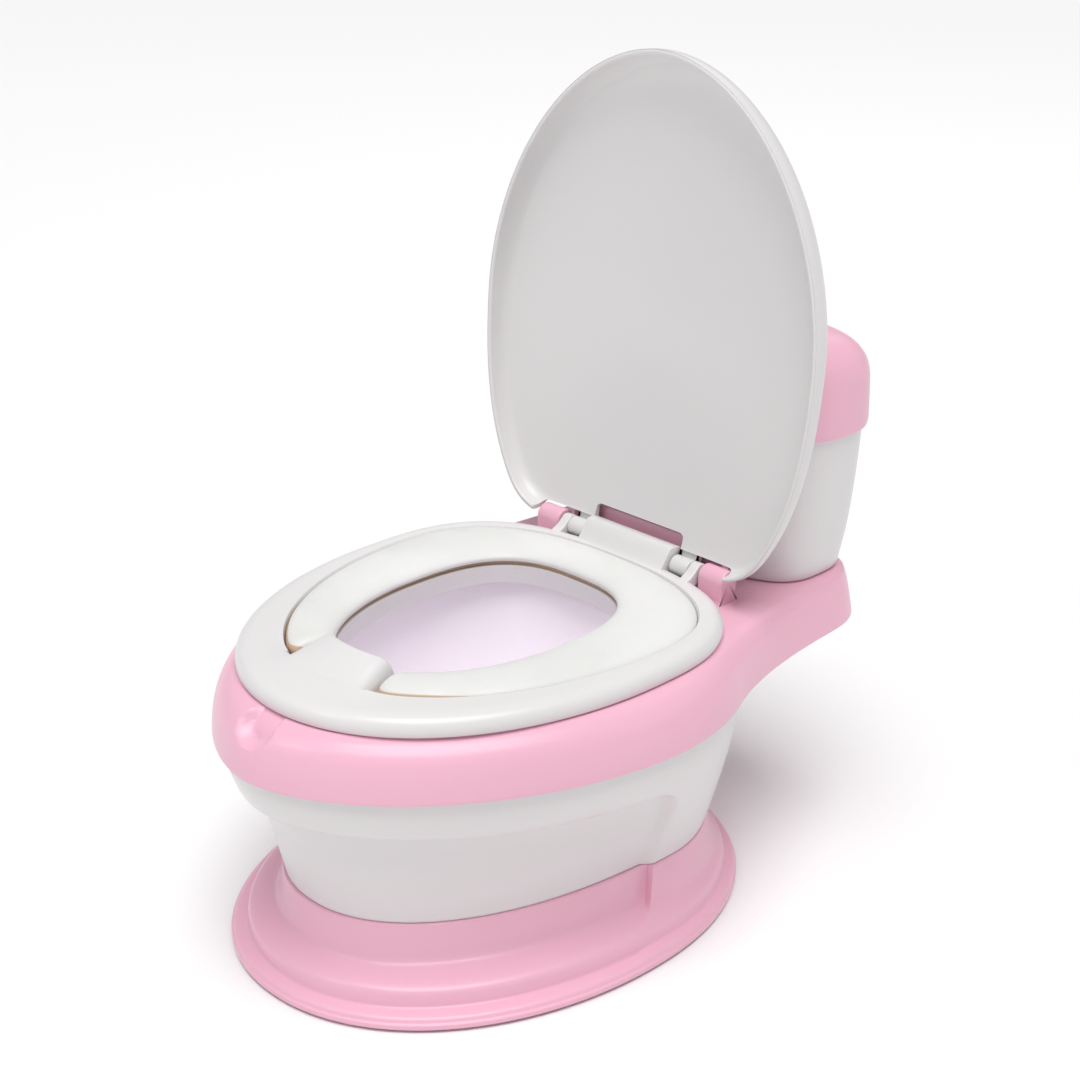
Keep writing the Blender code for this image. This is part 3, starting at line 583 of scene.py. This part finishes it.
def deck_outline():
    """Closed outline of rim and platform, from the front tip round the +X side."""
    half, front, rear, widest, blunt_front, blunt = RIM
    reach = (NECK_START - widest) / (rear - widest)
    start_half = half * (1 - reach ** blunt) ** (1 / blunt)
    fine = np.linspace(FRONT, radians(HEAD_END), 400)
    head = egg(RIM, fine)
    neck_y = np.linspace(NECK_START, PLATFORM_ROUND, 120)
    corner = np.linspace(0, pi / 2, 160)
    power = 2 / PLATFORM_BLUNT
    corner_y = PLATFORM_ROUND + (PLATFORM_REAR - PLATFORM_ROUND) * np.sin(corner) ** power
    y = np.concatenate((neck_y, corner_y[1:]))
    width = NECK_HALF + (start_half - NECK_HALF) * np.exp(-(y - NECK_START) / NECK_FADE)
    width[len(neck_y):] *= signed_power(np.cos(corner[1:]), power)
    right = np.vstack((head[:-1], np.column_stack((width, y))))
    length = np.append(0.0, np.cumsum(np.hypot(*np.diff(right, axis=0).T)))
    spots = np.linspace(0, length[-1], DECK_STEPS // 2 + 1)
    right = np.column_stack([np.interp(spots, length, right[:, k]) for k in (0, 1)])
    right[-1, 0] = 0.0
    left = right[-2:0:-1] * (-1, 1)
    return relax(np.vstack((right, left)), 6)


DECK_OUTLINE = deck_outline()


def deck_inset(z):
    """Inset of the deck's wall at height z, with the finger notch scooped out of the front."""
    x, y = DECK_OUTLINE.T
    rim = through(z, DECK_Z, RIM_INSET)
    platform = through(z, DECK_Z, PLATFORM_INSET)
    inset = rim + (platform - rim) * smooth(y, 30, 140)
    away = np.hypot(x / NOTCH_HALF, min(z - NOTCH_TOP, 0) / NOTCH_HIGH)
    scoop = NOTCH_DEPTH * (1 - smooth(away, NOTCH_FLAT, 1.0))
    return inset + np.where(y < 0, scoop, 0.0)


def deck_piece():
    rise = np.sin(np.linspace(0, pi / 2, 34))
    heights = SKIRT_BOTTOM + 1 + (DECK_TOP - SKIRT_BOTTOM - 1) * rise
    edge = deck_inset(SKIRT_BOTTOM)
    outer = [level(offset(DECK_OUTLINE, edge + WALL), SKIRT_BOTTOM),
             level(offset(DECK_OUTLINE, edge + 0.8), SKIRT_BOTTOM),
             level(offset(DECK_OUTLINE, edge + 0.25), SKIRT_BOTTOM + 0.25)]
    outer += [level(offset(DECK_OUTLINE, deck_inset(z)), z) for z in heights]
    centre = np.array((0.0, POT_FLANGE[3]))
    toward = DECK_OUTLINE - centre
    turn = np.unwrap(np.arctan2(toward[:, 1], toward[:, 0]))
    flange = egg(POT_FLANGE, turn)
    ceiling = DECK_TOP - WALL
    well = [level(offset(flange, inset), z) for inset, z in fillet([
        (-6.0, DECK_TOP, 0), (-1.5, DECK_TOP, 1.0), (-1.5, LEDGE, 0.5), (6.0, LEDGE, 0.5),
        (6.0, LEDGE - WALL, 0.5), (-1.5 - WALL, LEDGE - WALL, 0.5), (-1.5 - WALL, ceiling, 0)])]
    inside = [z for z in heights[::-3] if z < ceiling - 2]
    inner = [level(offset(DECK_OUTLINE, deck_inset(ceiling) + WALL + 1.5), ceiling)]
    inner += [level(offset(DECK_OUTLINE, deck_inset(z) + WALL), z) for z in inside]
    deck = add("deck_shell", grid_mesh("deck_shell", outer + well + inner, ring=True))
    add_hinge_posts(deck)
    add_rail(deck)
    x, y = SPIGOT[0] + 0.5, SPIGOT[1] + 0.5
    combine(deck, box_mesh((-x, TANK_Y - y, 160), (x, TANK_Y + y, 180)), "DIFFERENCE")
    return deck


def add_hinge_posts(deck):
    """The two posts that hold the hinge pins' outer ends."""
    centre_y = HINGE.y + POST_BACK
    flare = [(out, DECK_TOP + up) for out, up in FOOT_FLARE]
    profile = [(centre_y + POST_R + out, z) for out, z in flare]
    profile += arc_points((centre_y, HINGE.z), POST_R, 0, 180, 25)
    profile += [(centre_y - POST_R - out, z) for out, z in flare[::-1]]
    for side in (-1, 1):
        ends = sorted((side * POST_IN, side * POST_OUT))
        combine(deck, rounded_prism(profile, *ends, radius=1.3), "UNION")


def add_rail(deck):
    """The rail behind the hinge, with its raised middle."""
    flare = [(out, DECK_TOP + up) for out, up in FOOT_FLARE]
    foot = [(RAIL_REAR + out, z) for out, z in flare]
    rail = fillet([(RAIL_REAR, DECK_TOP + 3, 0), (RAIL_REAR, RAIL_TOP, 3),
                   (RAIL_FRONT, RAIL_TOP, 3), (RAIL_FRONT, DECK_TOP + 3, 0)], step=400)
    rail = foot + [tuple(p) for p in rail[1:-1]] + [(RAIL_FRONT - out, z) for out, z in flare[::-1]]
    combine(deck, rounded_prism(rail, -RAIL_HALF, RAIL_HALF, radius=1.0), "UNION")
    rear, front = RAIL_REAR - 0.5, RAIL_FRONT + 0.15
    tongue = fillet([(rear, RAIL_TOP - 5, 0), (rear, TONGUE_TOP, 2.5),
                     (front, TONGUE_TOP, 1.2), (front, RAIL_TOP - 5, 0)], step=400)
    combine(deck, rounded_prism(tongue, -TONGUE_HALF, TONGUE_HALF, radius=1.5), "UNION")


# ---- tank ----------------------------------------------------------------------------------
TANK_SHAPE = 3.0             # bluntness of the tank's outline
TANK_FOOT = DECK_TOP + 0.3
TANK_Z = (TANK_FOOT, 200.0, 235.0, CAP_EDGE)
TANK_HALF_X = (89.6, 95.2, 99.6, 102.0)
TANK_HALF_Y = (42.0, 43.3, 43.8, 44.0)
TANK_TURN = even_turn((100.0, -44.0, 44.0, 0.0, TANK_SHAPE, TANK_SHAPE), 200)
SHOULDER_X, SHOULDER_Y = 101.4, 43.4     # half sizes of its top edge, and of its neck in the cap
NECK_X, NECK_Y = 98.6, 40.6
CAP_PROFILE = [              # inset from the cap's widest outline, z, corner length
    (WALL + 0.6, CAP_EDGE, 0), (0.9, CAP_EDGE, 0.8), (0.0, CAP_EDGE + 3.6, 2.0), (0.3, 290.0, 9.0),
    (1.2, 305.0, 8.0), (8.5, 315.5, 7.0), (19.0, 321.0, 8.0), (34.0, CAP_TOP, 6.0),
    (40.5, CAP_TOP, 0),
]
CAP_INSIDE = [               # the same for the cap's inside
    (40.0, CAP_TOP - WALL, 0), (20.0, 317.0, 6.0), (6.0, 306.0, 6.0), (WALL, 290.0, 6.0),
    (WALL, CAP_EDGE + 1, 0),
]
CAP_X, CAP_Y = 105.2, 47.2   # half sizes of the cap's widest outline


def tank_loop(half_x, half_y, z):
    outline = egg((half_x, -half_y, half_y, 0.0, TANK_SHAPE, TANK_SHAPE), TANK_TURN)
    return level(outline + (0.0, TANK_Y), z)


def tank_piece():
    rows = [tank_loop(TANK_HALF_X[0] - 5, TANK_HALF_Y[0] - 5, TANK_FOOT),
            tank_loop(TANK_HALF_X[0] - 2.2, TANK_HALF_Y[0] - 2.0, TANK_FOOT),
            tank_loop(TANK_HALF_X[0] - 0.8, TANK_HALF_Y[0] - 0.7, TANK_FOOT + 0.6)]
    for z in np.linspace(TANK_FOOT + 2.2, CAP_EDGE - 0.5, 24):
        rows.append(tank_loop(through(z, TANK_Z, TANK_HALF_X), through(z, TANK_Z, TANK_HALF_Y), z))
    shoulder = CAP_EDGE - 0.3
    rows += [tank_loop(SHOULDER_X, SHOULDER_Y, shoulder),
             tank_loop(NECK_X + 0.5, NECK_Y + 0.5, shoulder),
             tank_loop(NECK_X, NECK_Y, shoulder + 0.5), tank_loop(NECK_X, NECK_Y, TANK_TOP - 0.6),
             tank_loop(NECK_X - 0.6, NECK_Y - 0.6, TANK_TOP),
             tank_loop(NECK_X - WALL, NECK_Y - WALL, TANK_TOP)]
    for z in np.linspace(shoulder - 4, TANK_FOOT + 6, 8):
        rows.append(tank_loop(through(z, TANK_Z, TANK_HALF_X) - WALL,
                              through(z, TANK_Z, TANK_HALF_Y) - WALL, z))
    rows.append(tank_loop(TANK_HALF_X[0] - 4, TANK_HALF_Y[0] - 4, TANK_FOOT + 3))
    tank = add("tank_shell", grid_mesh("tank_shell", rows))
    x, y = SPIGOT
    plug = box_mesh((-x, TANK_Y - y, low("tank_body").z), (x, TANK_Y + y, TANK_FOOT + 1))
    combine(tank, plug, "UNION")
    return tank


def cap_piece():
    path = np.vstack((fillet(CAP_INSIDE, step=8.0), fillet(CAP_PROFILE, turns=7)))
    rows = [tank_loop(CAP_X - inset, CAP_Y - inset, z) for inset, z in path]
    return add("cap_shell", grid_mesh("cap_shell", rows))


# ---- seat ring -----------------------------------------------------------------------------
RING = (122.4, -187.6, 84.4, -20.4, 2.06, 2.8)
CUSHION_OUT = (107.5, -157.0, 72.0, -6.6, 2.0, 2.5)
CUSHION_IN = (63.0, -132.6, 39.4, -36.6, 2.0, 2.8)
RING_BOTTOM, RING_TOP = 174.5, 184.5
RECESS_FLOOR = 177.0
TIP = 19.0                   # degrees from the front to the cushion's tips
GUARD_EDGE = 17.4            # degrees from the front to the splash guard's flanks
GUARD_FILLET = 5.0           # degrees over which the flank's upper edge is rounded
GUARD_ROUND = 6.0            # drop of that rounding, millimetres
CREST_DROP = 3.0             # the guard's crest is lower by this, CREST_HALF from its middle
CREST_HALF = 25.0
GUARD_RAMP = (-0.28, 1.06)   # where the guard's slope would start and end, as shares of its way
ROLL_START, ROLL_DROP = 0.80, 5.0    # the crest's roll: the share where it starts, and its drop
SPREAD = 6.0                 # degrees by which the opening's angles spread behind the tips
RING_UNDER = ((3.6, 0.0), (1.4, 0.0), (0.6, 0.4), (0.15, 1.3))      # inset, height over its bottom
RING_SHOULDER = ((0.0, 177.0), (0.2, 178.6), (0.7, 180.1), (1.6, 181.5), (2.9, 182.7),
                 (4.6, 183.6), (6.6, 184.15))                       # inset, z
BAND_EDGE = (9.0, 184.4)     # the same where the band's flat part begins
SKIRT = 1.3                  # how much lower the ring's front and sides reach
EAR_IN, EAR_OUT = 36.0, 49.5         # the lid's ears
EAR_GAP = 0.8                # gap beside them
BARREL_R = 6.0
BARREL_IN, BARREL_OUT = 50.1, 56.8   # outer hinge barrels
BLOCK_R, BLOCK_HALF = 10.5, 34.7     # hinge block between the ears
WEB_REACH = 13.0             # how far forwards of the axis the hinge parts start on the ring
EAR_WALL, EAR_WALL_HALF = 7.3, 56.6  # wall that closes the ear slots' front, forwards of the axis
EAR_WALL_UP = 3.6            # its top, over the axis


def seat_angles():
    """Angles from the front, denser at the splash guard's flanks."""
    guard = np.linspace(0, GUARD_EDGE - GUARD_FILLET, 20)[:-1]
    flank = GUARD_EDGE - GUARD_FILLET * np.cos(np.linspace(0, pi / 2, 9))
    beyond = np.degrees(even_turn(CUSHION_OUT, 240) - FRONT)
    beyond = beyond[(beyond > GUARD_EDGE + 0.8) & (beyond < 180)]
    right = np.concatenate((guard, flank, [GUARD_EDGE + 0.12], beyond, [180.0]))
    return np.concatenate((right, -right[-2:0:-1]))


def inner_turn(turn):
    """Angles along the opening, spread so that the cushion's ends run nearly straight back."""
    away = (np.degrees(turn - FRONT) + 180) % 360 - 180
    beside = np.abs(away)
    spread = SPREAD * smooth(beside, 0, 17) * (1 - smooth(beside, 20, 75))
    return turn + np.radians(np.sign(away) * spread)


def ring_surface():
    """Loops round the ring: up its outside, over its top, down the opening and back under it."""
    away = seat_angles()
    turn = FRONT + np.radians(away)
    away = np.abs(away)
    ring = egg(RING, turn)
    recess = offset(egg(CUSHION_OUT, turn), -1.5)
    opening = egg(CUSHION_IN, inner_turn(turn))
    guard = away < GUARD_EDGE + 0.05
    swell = 1 - smooth(away, 9, 26)
    round_share = np.clip((away - GUARD_EDGE + GUARD_FILLET) / GUARD_FILLET, 0, 1)
    drop = GUARD_ROUND * (1 - np.sqrt(1 - round_share ** 2))
    crest = GUARD_TOP - CREST_DROP * (opening[:, 0] / CREST_HALF) ** 2
    band = RING_TOP - 0.2 + 2.2 * swell

    def top(t):
        """Height at share t of the way from the recess's edge to the opening."""
        slope = smooth(t, *GUARD_RAMP) ** 1.15
        base = smooth(0.0, *GUARD_RAMP) ** 1.15
        height = band + (crest - band) * (slope - base) / (1 - base)
        roll = ROLL_DROP * max(0.0, (t - ROLL_START) / (1 - ROLL_START)) ** 2.4
        raised = np.maximum(height - roll - drop, RECESS_FLOOR)
        fall = RECESS_FLOOR + (band - RECESS_FLOOR) * (1 - smooth(t, 0.0, 0.05))
        return np.where(guard, raised, fall)

    skirt = SKIRT * (1 - smooth(ring[:, 1], 20, 55))
    rows = [level(offset(ring, inset), RING_BOTTOM + up - skirt) for inset, up in RING_UNDER]
    rows += [level(offset(ring, inset), z) for inset, z in RING_SHOULDER]
    edge_inset, edge_z = BAND_EDGE
    for t in (0.0, 0.25, 0.5, 0.75, 0.94):
        spread = mix(offset(ring, edge_inset), recess, t)
        rows.append(level(spread, edge_z + (band - edge_z) * smooth(t, 0, 1)))
    shares = [0.0, 0.012, 0.024, 0.036, 0.05] + list(np.linspace(0.08, 0.86, 22))
    shares += [0.89, 0.92, 0.945, 0.965, 0.98, 0.992, 1.0]
    rows += [level(mix(recess, opening, t), top(t)) for t in shares]
    rim_z = rows[-1][:, 2]
    for down in (0.08, 0.3, 0.6, 1.0):
        rows.append(level(offset(opening, -0.12 * down), rim_z + (RING_FOOT + 0.5 - rim_z) * down))
    rows.append(level(offset(opening, -0.6), RING_FOOT))
    lip = offset(opening, -WALL)
    rows += [level(lip, RING_FOOT), level(lip, RING_BOTTOM)]
    y = ring[:, 1]
    channel = RING_TOP - WALL + (RING_BOTTOM + 0.6 - RING_TOP + WALL) * smooth(y, 40, 60)
    channel_edge = offset(recess, -WALL)
    rows += [level(channel_edge, RING_BOTTOM), level(channel_edge, channel),
             level(offset(ring, 5.0), channel)]
    return rows


def barrel_profile(radius, knee, reach_y, low_z, high_z):
    """Side profile of a hinge barrel whose web runs forwards to reach_y past a soft knee."""
    profile = arc_points((HINGE.y, HINGE.z), radius, -115, 112, 36)
    web = fillet([(*profile[-1], 0), (*knee, 4), (reach_y, high_z, 0)])
    return profile + [tuple(p) for p in web[1:]] + [(reach_y, low_z)]


def ring_piece():
    ring = add("seat_ring_shell", grid_mesh("seat_ring_shell", ring_surface(), ring=True))
    reach = (HINGE.y - WEB_REACH, RING_BOTTOM + 0.5, RING_TOP - 0.5)
    start, low_z, high_z = reach
    wall_y, wall_z = HINGE.y - EAR_WALL, HINGE.z + EAR_WALL_UP
    block = barrel_profile(BLOCK_R, (HINGE.y - 11.2, RING_TOP + 0.6), *reach)
    barrel = barrel_profile(BARREL_R, (HINGE.y - 7.5, RING_TOP + 1.9), *reach)
    wall = fillet([(wall_y, low_z, 0), (wall_y, wall_z, 1.4), (wall_y - 1.3, wall_z, 1.2),
                   (start, high_z, 0), (start, low_z, 0)], step=400)
    for profile, ends in ((wall, (-EAR_WALL_HALF, EAR_WALL_HALF)),
                          (block, (-BLOCK_HALF, BLOCK_HALF)),
                          (barrel, (-BARREL_OUT, -BARREL_IN)), (barrel, (BARREL_IN, BARREL_OUT))):
        combine(ring, rounded_prism(profile, *ends, radius=0.9), "UNION")
    for side in (-1, 1):
        ends = sorted((side * (EAR_IN - EAR_GAP), side * (EAR_OUT + EAR_GAP)))
        slot = box_mesh((ends[0], wall_y, 178.0), (ends[1], HINGE.y + 20, 200.0))
        combine(ring, slot, "DIFFERENCE")
    return ring


# ---- cushion -------------------------------------------------------------------------------
CUSHION_SECTION = [          # share of the way across from outside to inside, height share
    (0.05, 0.0), (0.012, 0.07), (-0.004, 0.26), (0.012, 0.48), (0.06, 0.66), (0.16, 0.83),
    (0.32, 0.96), (0.5, 1.0), (0.68, 0.96), (0.83, 0.82), (0.935, 0.62), (0.99, 0.40),
    (1.0, 0.22), (0.99, 0.06), (0.95, 0.0),
]
TIP_ROUND = 10.0             # length over which the tips are rounded, millimetres
TIP_NARROW, TIP_LOWER = 0.5, 0.62    # shares of width and height that this takes off at the end
TIP_DENSE, TIP_NEXT = 1.2, 1.8       # degrees with dense loops at a tip, and where others start


def cushion_piece():
    turn = even_turn(CUSHION_OUT, 300)
    away = np.degrees(turn - FRONT)
    start = TIP + TIP_DENSE * (1 - np.cos(np.linspace(0, pi / 2, 14)))
    middle = away[(away > TIP + TIP_NEXT) & (away < 360 - TIP - TIP_NEXT)]
    away = np.concatenate((start, middle, 360 - start[::-1]))
    turn = FRONT + np.radians(away)
    outer, inner = egg(CUSHION_OUT, turn), egg(CUSHION_IN, inner_turn(turn))
    middle_line = (outer + inner) / 2
    length = np.append(0.0, np.cumsum(np.hypot(*np.diff(middle_line, axis=0).T)))
    to_tip = np.minimum(length, length[-1] - length)
    near = np.clip(1 - to_tip / TIP_ROUND, 0, 1)
    nearer = np.clip(1 - to_tip / (TIP_ROUND * 0.6), 0, 1)
    width = 1 - TIP_NARROW * (1 - np.sqrt(1 - near ** 2.6))
    full = 1 - TIP_LOWER * (1 - np.sqrt(1 - nearer ** 2.2))
    ups = np.arange(len(CUSHION_SECTION))
    dense = np.linspace(0, ups[-1], 57)
    across = through(dense, ups, [s[0] for s in CUSHION_SECTION])
    up = np.clip(through(dense, ups, [s[1] for s in CUSHION_SECTION]), 0, 1)
    rows = []
    for o, i, w, f in zip(outer, inner, width, full):
        share = (0.5 + (across - 0.5) * w)[:, None]
        height = CUSHION_BOTTOM + (CUSHION_TOP - CUSHION_BOTTOM) * up * f
        rows.append(np.column_stack((o + (i - o) * share, height)))
    return add("cushion_pad", grid_mesh("cushion_pad", rows))


# ---- pot -----------------------------------------------------------------------------------
POT_Z = (60.0, 62.0, 68.0, 80.0, 110.0, 150.0, 165.0)
POT_INSET = (38.0, 32.0, 25.5, 19.0, 14.0, 9.5, 7.6)
POT_FLOOR = 66.0             # below this height the inside lies a wall's thickness higher
POT_TURN = even_turn(POT_FLANGE, 180)


def pot_piece():
    flange = egg(POT_FLANGE, POT_TURN)
    under = LEDGE + 0.3
    bottom, rise, neck = POT_Z[0], POT_Z[-1] - POT_Z[0], POT_INSET[-1]
    outer = [level(offset(flange, through(z, POT_Z, POT_INSET)), z)
             for z in bottom + rise * np.linspace(0, 1, 26) ** 1.6]
    lip = fillet([(neck, under - 2, 0), (neck, under, 0.8), (0.0, under, 0.8), (0.0, POT_TOP, 0.9),
                  (9.2, POT_TOP, 1.0), (9.7, POT_TOP - 3, 0)])
    outer += [level(offset(flange, inset), z) for inset, z in lip]
    inner = [level(offset(flange, through(z, POT_Z, POT_INSET) + WALL), z + WALL * (z < POT_FLOOR))
             for z in bottom + (rise - 1) * np.linspace(1, 0, 40) ** 1.6]
    return add("pot_shell", grid_mesh("pot_shell", outer + inner))


# ---- lid -----------------------------------------------------------------------------------
# The lid is drawn closed, about the hinge axis: x, -u with u forwards from the axis, v up.
LID = (129.6, -297.5, 30.0, -137.0, 1.89, 2.41)
LID_CUT = 2.0                # the straight rear edge, forwards of the axis
LID_CORNER = 18.0            # how far forwards of that edge its corners start to round
LID_PLANE = -8.0             # height of the lid's edge above the axis
LID_SKIN = 2.7
EDGE_REAR, EDGE_FRONT = 13.0, 17.5   # height of the edge band, at the hinge and at the front
CUTOUTS = ((79.0, 8.7), (36.0, 17.5))   # half width and depth of the rear cutouts
# From the edge to the middle of the dome: size of each loop, and its share of the band's height.
LID_SCALE = (1.0, 1.0, 0.990, 0.965, 0.92, 0.82, 0.64, 0.40, 0.14)
LID_EDGE = (0.0, 0.35, 0.68, 0.93, 1.0, 1.0, 1.0, 1.0, 1.0)
LID_RISE = 7.4               # height of the dome above its edge
ARM_REACH, ARM_TOP, ARM_UNDER = -16.0, 8.4, 5.4      # where the ears' arms end inside the lid


def lid_outline():
    fine = egg(LID, even_turn(LID, 260))
    y = fine[:, 1]
    near = np.maximum(LID_CORNER - np.abs(y + LID_CUT), 0.0) / LID_CORNER
    fine[:, 1] = np.minimum(y, -LID_CUT) - near * near * LID_CORNER / 4
    return relax(fine, 3)


def lid_loop(outline, t, depth):
    """One loop of the dish at step t of LID_SCALE, depth millimetres under its outer face."""
    middle = np.array((0.0, LID[3]))
    steps = np.arange(len(LID_SCALE))
    edge = EDGE_REAR + (EDGE_FRONT - EDGE_REAR) * smooth(-outline[:, 1], 0, -LID[1])

    def at(spot):
        scale = through(spot, steps, LID_SCALE)
        dome = LID_RISE * (1 - min(scale, 1.0) ** 5)
        return scale, LID_PLANE + edge * through(spot, steps, LID_EDGE) + dome

    scale, v = at(t)
    before, after = at(max(t - 0.05, 0.0)), at(min(t + 0.05, steps[-1]))
    run = (after[0] - before[0]) * LID[0]
    rise = np.mean(after[1] - before[1])
    size = np.hypot(run, rise)
    spread = offset(outline, depth * rise / size)
    return level(middle + (spread - middle) * scale, v + depth * run / size)


def lid_piece():
    outline = lid_outline()
    spots = np.concatenate((np.linspace(0.06, 4, 42), np.linspace(4.2, 8, 22)))
    outer = [lid_loop(outline, t, 0.0) for t in spots[::-1]]
    half = LID_SKIN / 2
    lip = [(half * (1 - cos(a)), half * (1 - sin(a))) for a in np.linspace(0, pi, 9)]
    edge = [level(offset(outline, across), LID_PLANE + up) for across, up in lip]
    inner_spots = [t for t in spots if t > 0.25]
    inner = [lid_loop(outline, t, LID_SKIN) for t in inner_spots]
    lid = add("lid_shell", grid_mesh("lid_shell", outer + edge[1:-1] + inner))
    for side_half, depth in CUTOUTS:
        combine(lid, cutout_mesh(side_half, depth), "DIFFERENCE")
    arm = arc_points((0, 0), BARREL_R, -228, 62, 32)
    web = fillet([(*arm[-1], 0), (-3.0, ARM_TOP - 0.2, 3), (ARM_REACH, ARM_TOP, 0)])
    arm += [tuple(p) for p in web[1:]] + [(ARM_REACH, ARM_UNDER)]
    for side in (-1, 1):
        ends = sorted((side * EAR_IN, side * EAR_OUT))
        combine(lid, rounded_prism(arm, *ends, radius=0.8), "UNION")
    lid.data.transform(Matrix.Translation(HINGE / 1000) @ Matrix.Rotation(-LID_OPEN, 4, "X"))
    return lid


def cutout_mesh(half, depth):
    """A tool with rounded inner corners, which opens the lid's rear edge."""
    corner, past = 4.0, 30.0
    outline = fillet([(-half, past, 0), (-half, -depth, corner), (half, -depth, corner),
                      (half, past, 0)], step=400)
    return grid_mesh("cutout", [level(outline, -past), level(outline, past)])


# ---- camera, light and floor ---------------------------------------------------------------
def studio():
    camera_data = bpy.data.cameras.new("camera")
    camera = bpy.data.objects.new("camera", camera_data)
    bpy.context.collection.objects.link(camera)
    azimuth, elevation, distance = radians(45.63), radians(22.94), 1.1599
    target = Vector((0.0061, 0.0028, 0.2167))
    back = Vector((sin(azimuth) * cos(elevation), -cos(azimuth) * cos(elevation), sin(elevation)))
    camera.location = target + back * distance
    camera.rotation_euler = (-back).to_track_quat("-Z", "Y").to_euler()
    camera_data.sensor_width = 36.0
    camera_data.lens = 67.13
    camera_data.clip_end = 200.0
    bpy.context.scene.camera = camera

    lamps = (                # name, kind, place, power, size or angle, colour
        ("key", "SUN", (0.23, -0.19, 1.0), 2.27, radians(42), (1.0, 0.99, 0.98)),
        ("front", "AREA", (2.0, -1.9, 1.7), 1.2, 1.5, (1.0, 1.0, 1.0)),
        ("back", "AREA", (-1.0, 1.7, 1.9), 4.0, 1.5, (1.0, 1.0, 1.0)),
        ("glint", "AREA", (-0.35, -1.30, 1.35), 2.2, 0.30, (1.0, 1.0, 1.0)),
    )
    for name, kind, place, power, size, colour in lamps:
        data = bpy.data.lights.new(name, kind)
        setattr(data, "angle" if kind == "SUN" else "size", size)
        data.energy = power
        data.color = colour
        lamp = bpy.data.objects.new(name, data)
        lamp.location = place
        aim = Vector((0.0, 0.0, 0.0 if kind == "SUN" else 0.2)) - Vector(place)
        lamp.rotation_euler = aim.to_track_quat("-Z", "Y").to_euler()
        bpy.context.collection.objects.link(lamp)

    world = bpy.data.worlds.new("studio")
    world.use_nodes = True
    background = world.node_tree.nodes["Background"]
    background.inputs["Color"].default_value = (0.98, 0.985, 1.0, 1.0)
    background.inputs["Strength"].default_value = 0.37
    bpy.context.scene.world = world

    bpy.ops.mesh.primitive_plane_add(size=160.0, location=(0.0, 0.0, -0.0005))
    floor = bpy.context.object
    floor.name = "floor"
    n = Nodes("pale_floor")
    n.set(Base_Color=(0.95, 0.95, 0.95, 1.0), Roughness=0.6)
    floor.data.materials.append(n.material)
    bpy.context.scene.view_settings.view_transform = "Standard"


def carried_over():
    """Better materials for the CAD nodes that stay."""
    finishes = {"steel": STEEL, "rubber_pad": RUBBER, "backing_plastic": BACKING}
    slots = {row["node"]: row["material_slot"] for row in frame["record"]["subparts"]}
    for name, node in frame["nodes"].items():
        if slots[name] in finishes:
            for held in node.material_slots:
                held.material = finishes[slots[name]]


def main():
    studio()
    finish_piece(base_piece(), "chair", "pink_plastic", PINK, "base")
    finish_piece(pedestal_piece(), "chair", "white_plastic", WHITE, "bowl_body")
    finish_piece(deck_piece(), "chair", "pink_plastic", PINK, "seat_deck")
    finish_piece(tank_piece(), "tank", "white_plastic", WHITE, "tank_body")
    finish_piece(cap_piece(), "tank_cap", "pink_plastic", PINK, "tank_cap")
    finish_piece(ring_piece(), "seat", "white_plastic", WHITE, "seat_ring")
    finish_piece(pot_piece(), "pot", "pot_plastic", POT, "inner_pot")
    finish_piece(lid_piece(), "lid", "white_plastic", WHITE, "lid")
    cushion = finish_piece(cushion_piece(), "cushion", "pu_cushion", CUSHION, "seat_cushion")
    carried_over()


main()
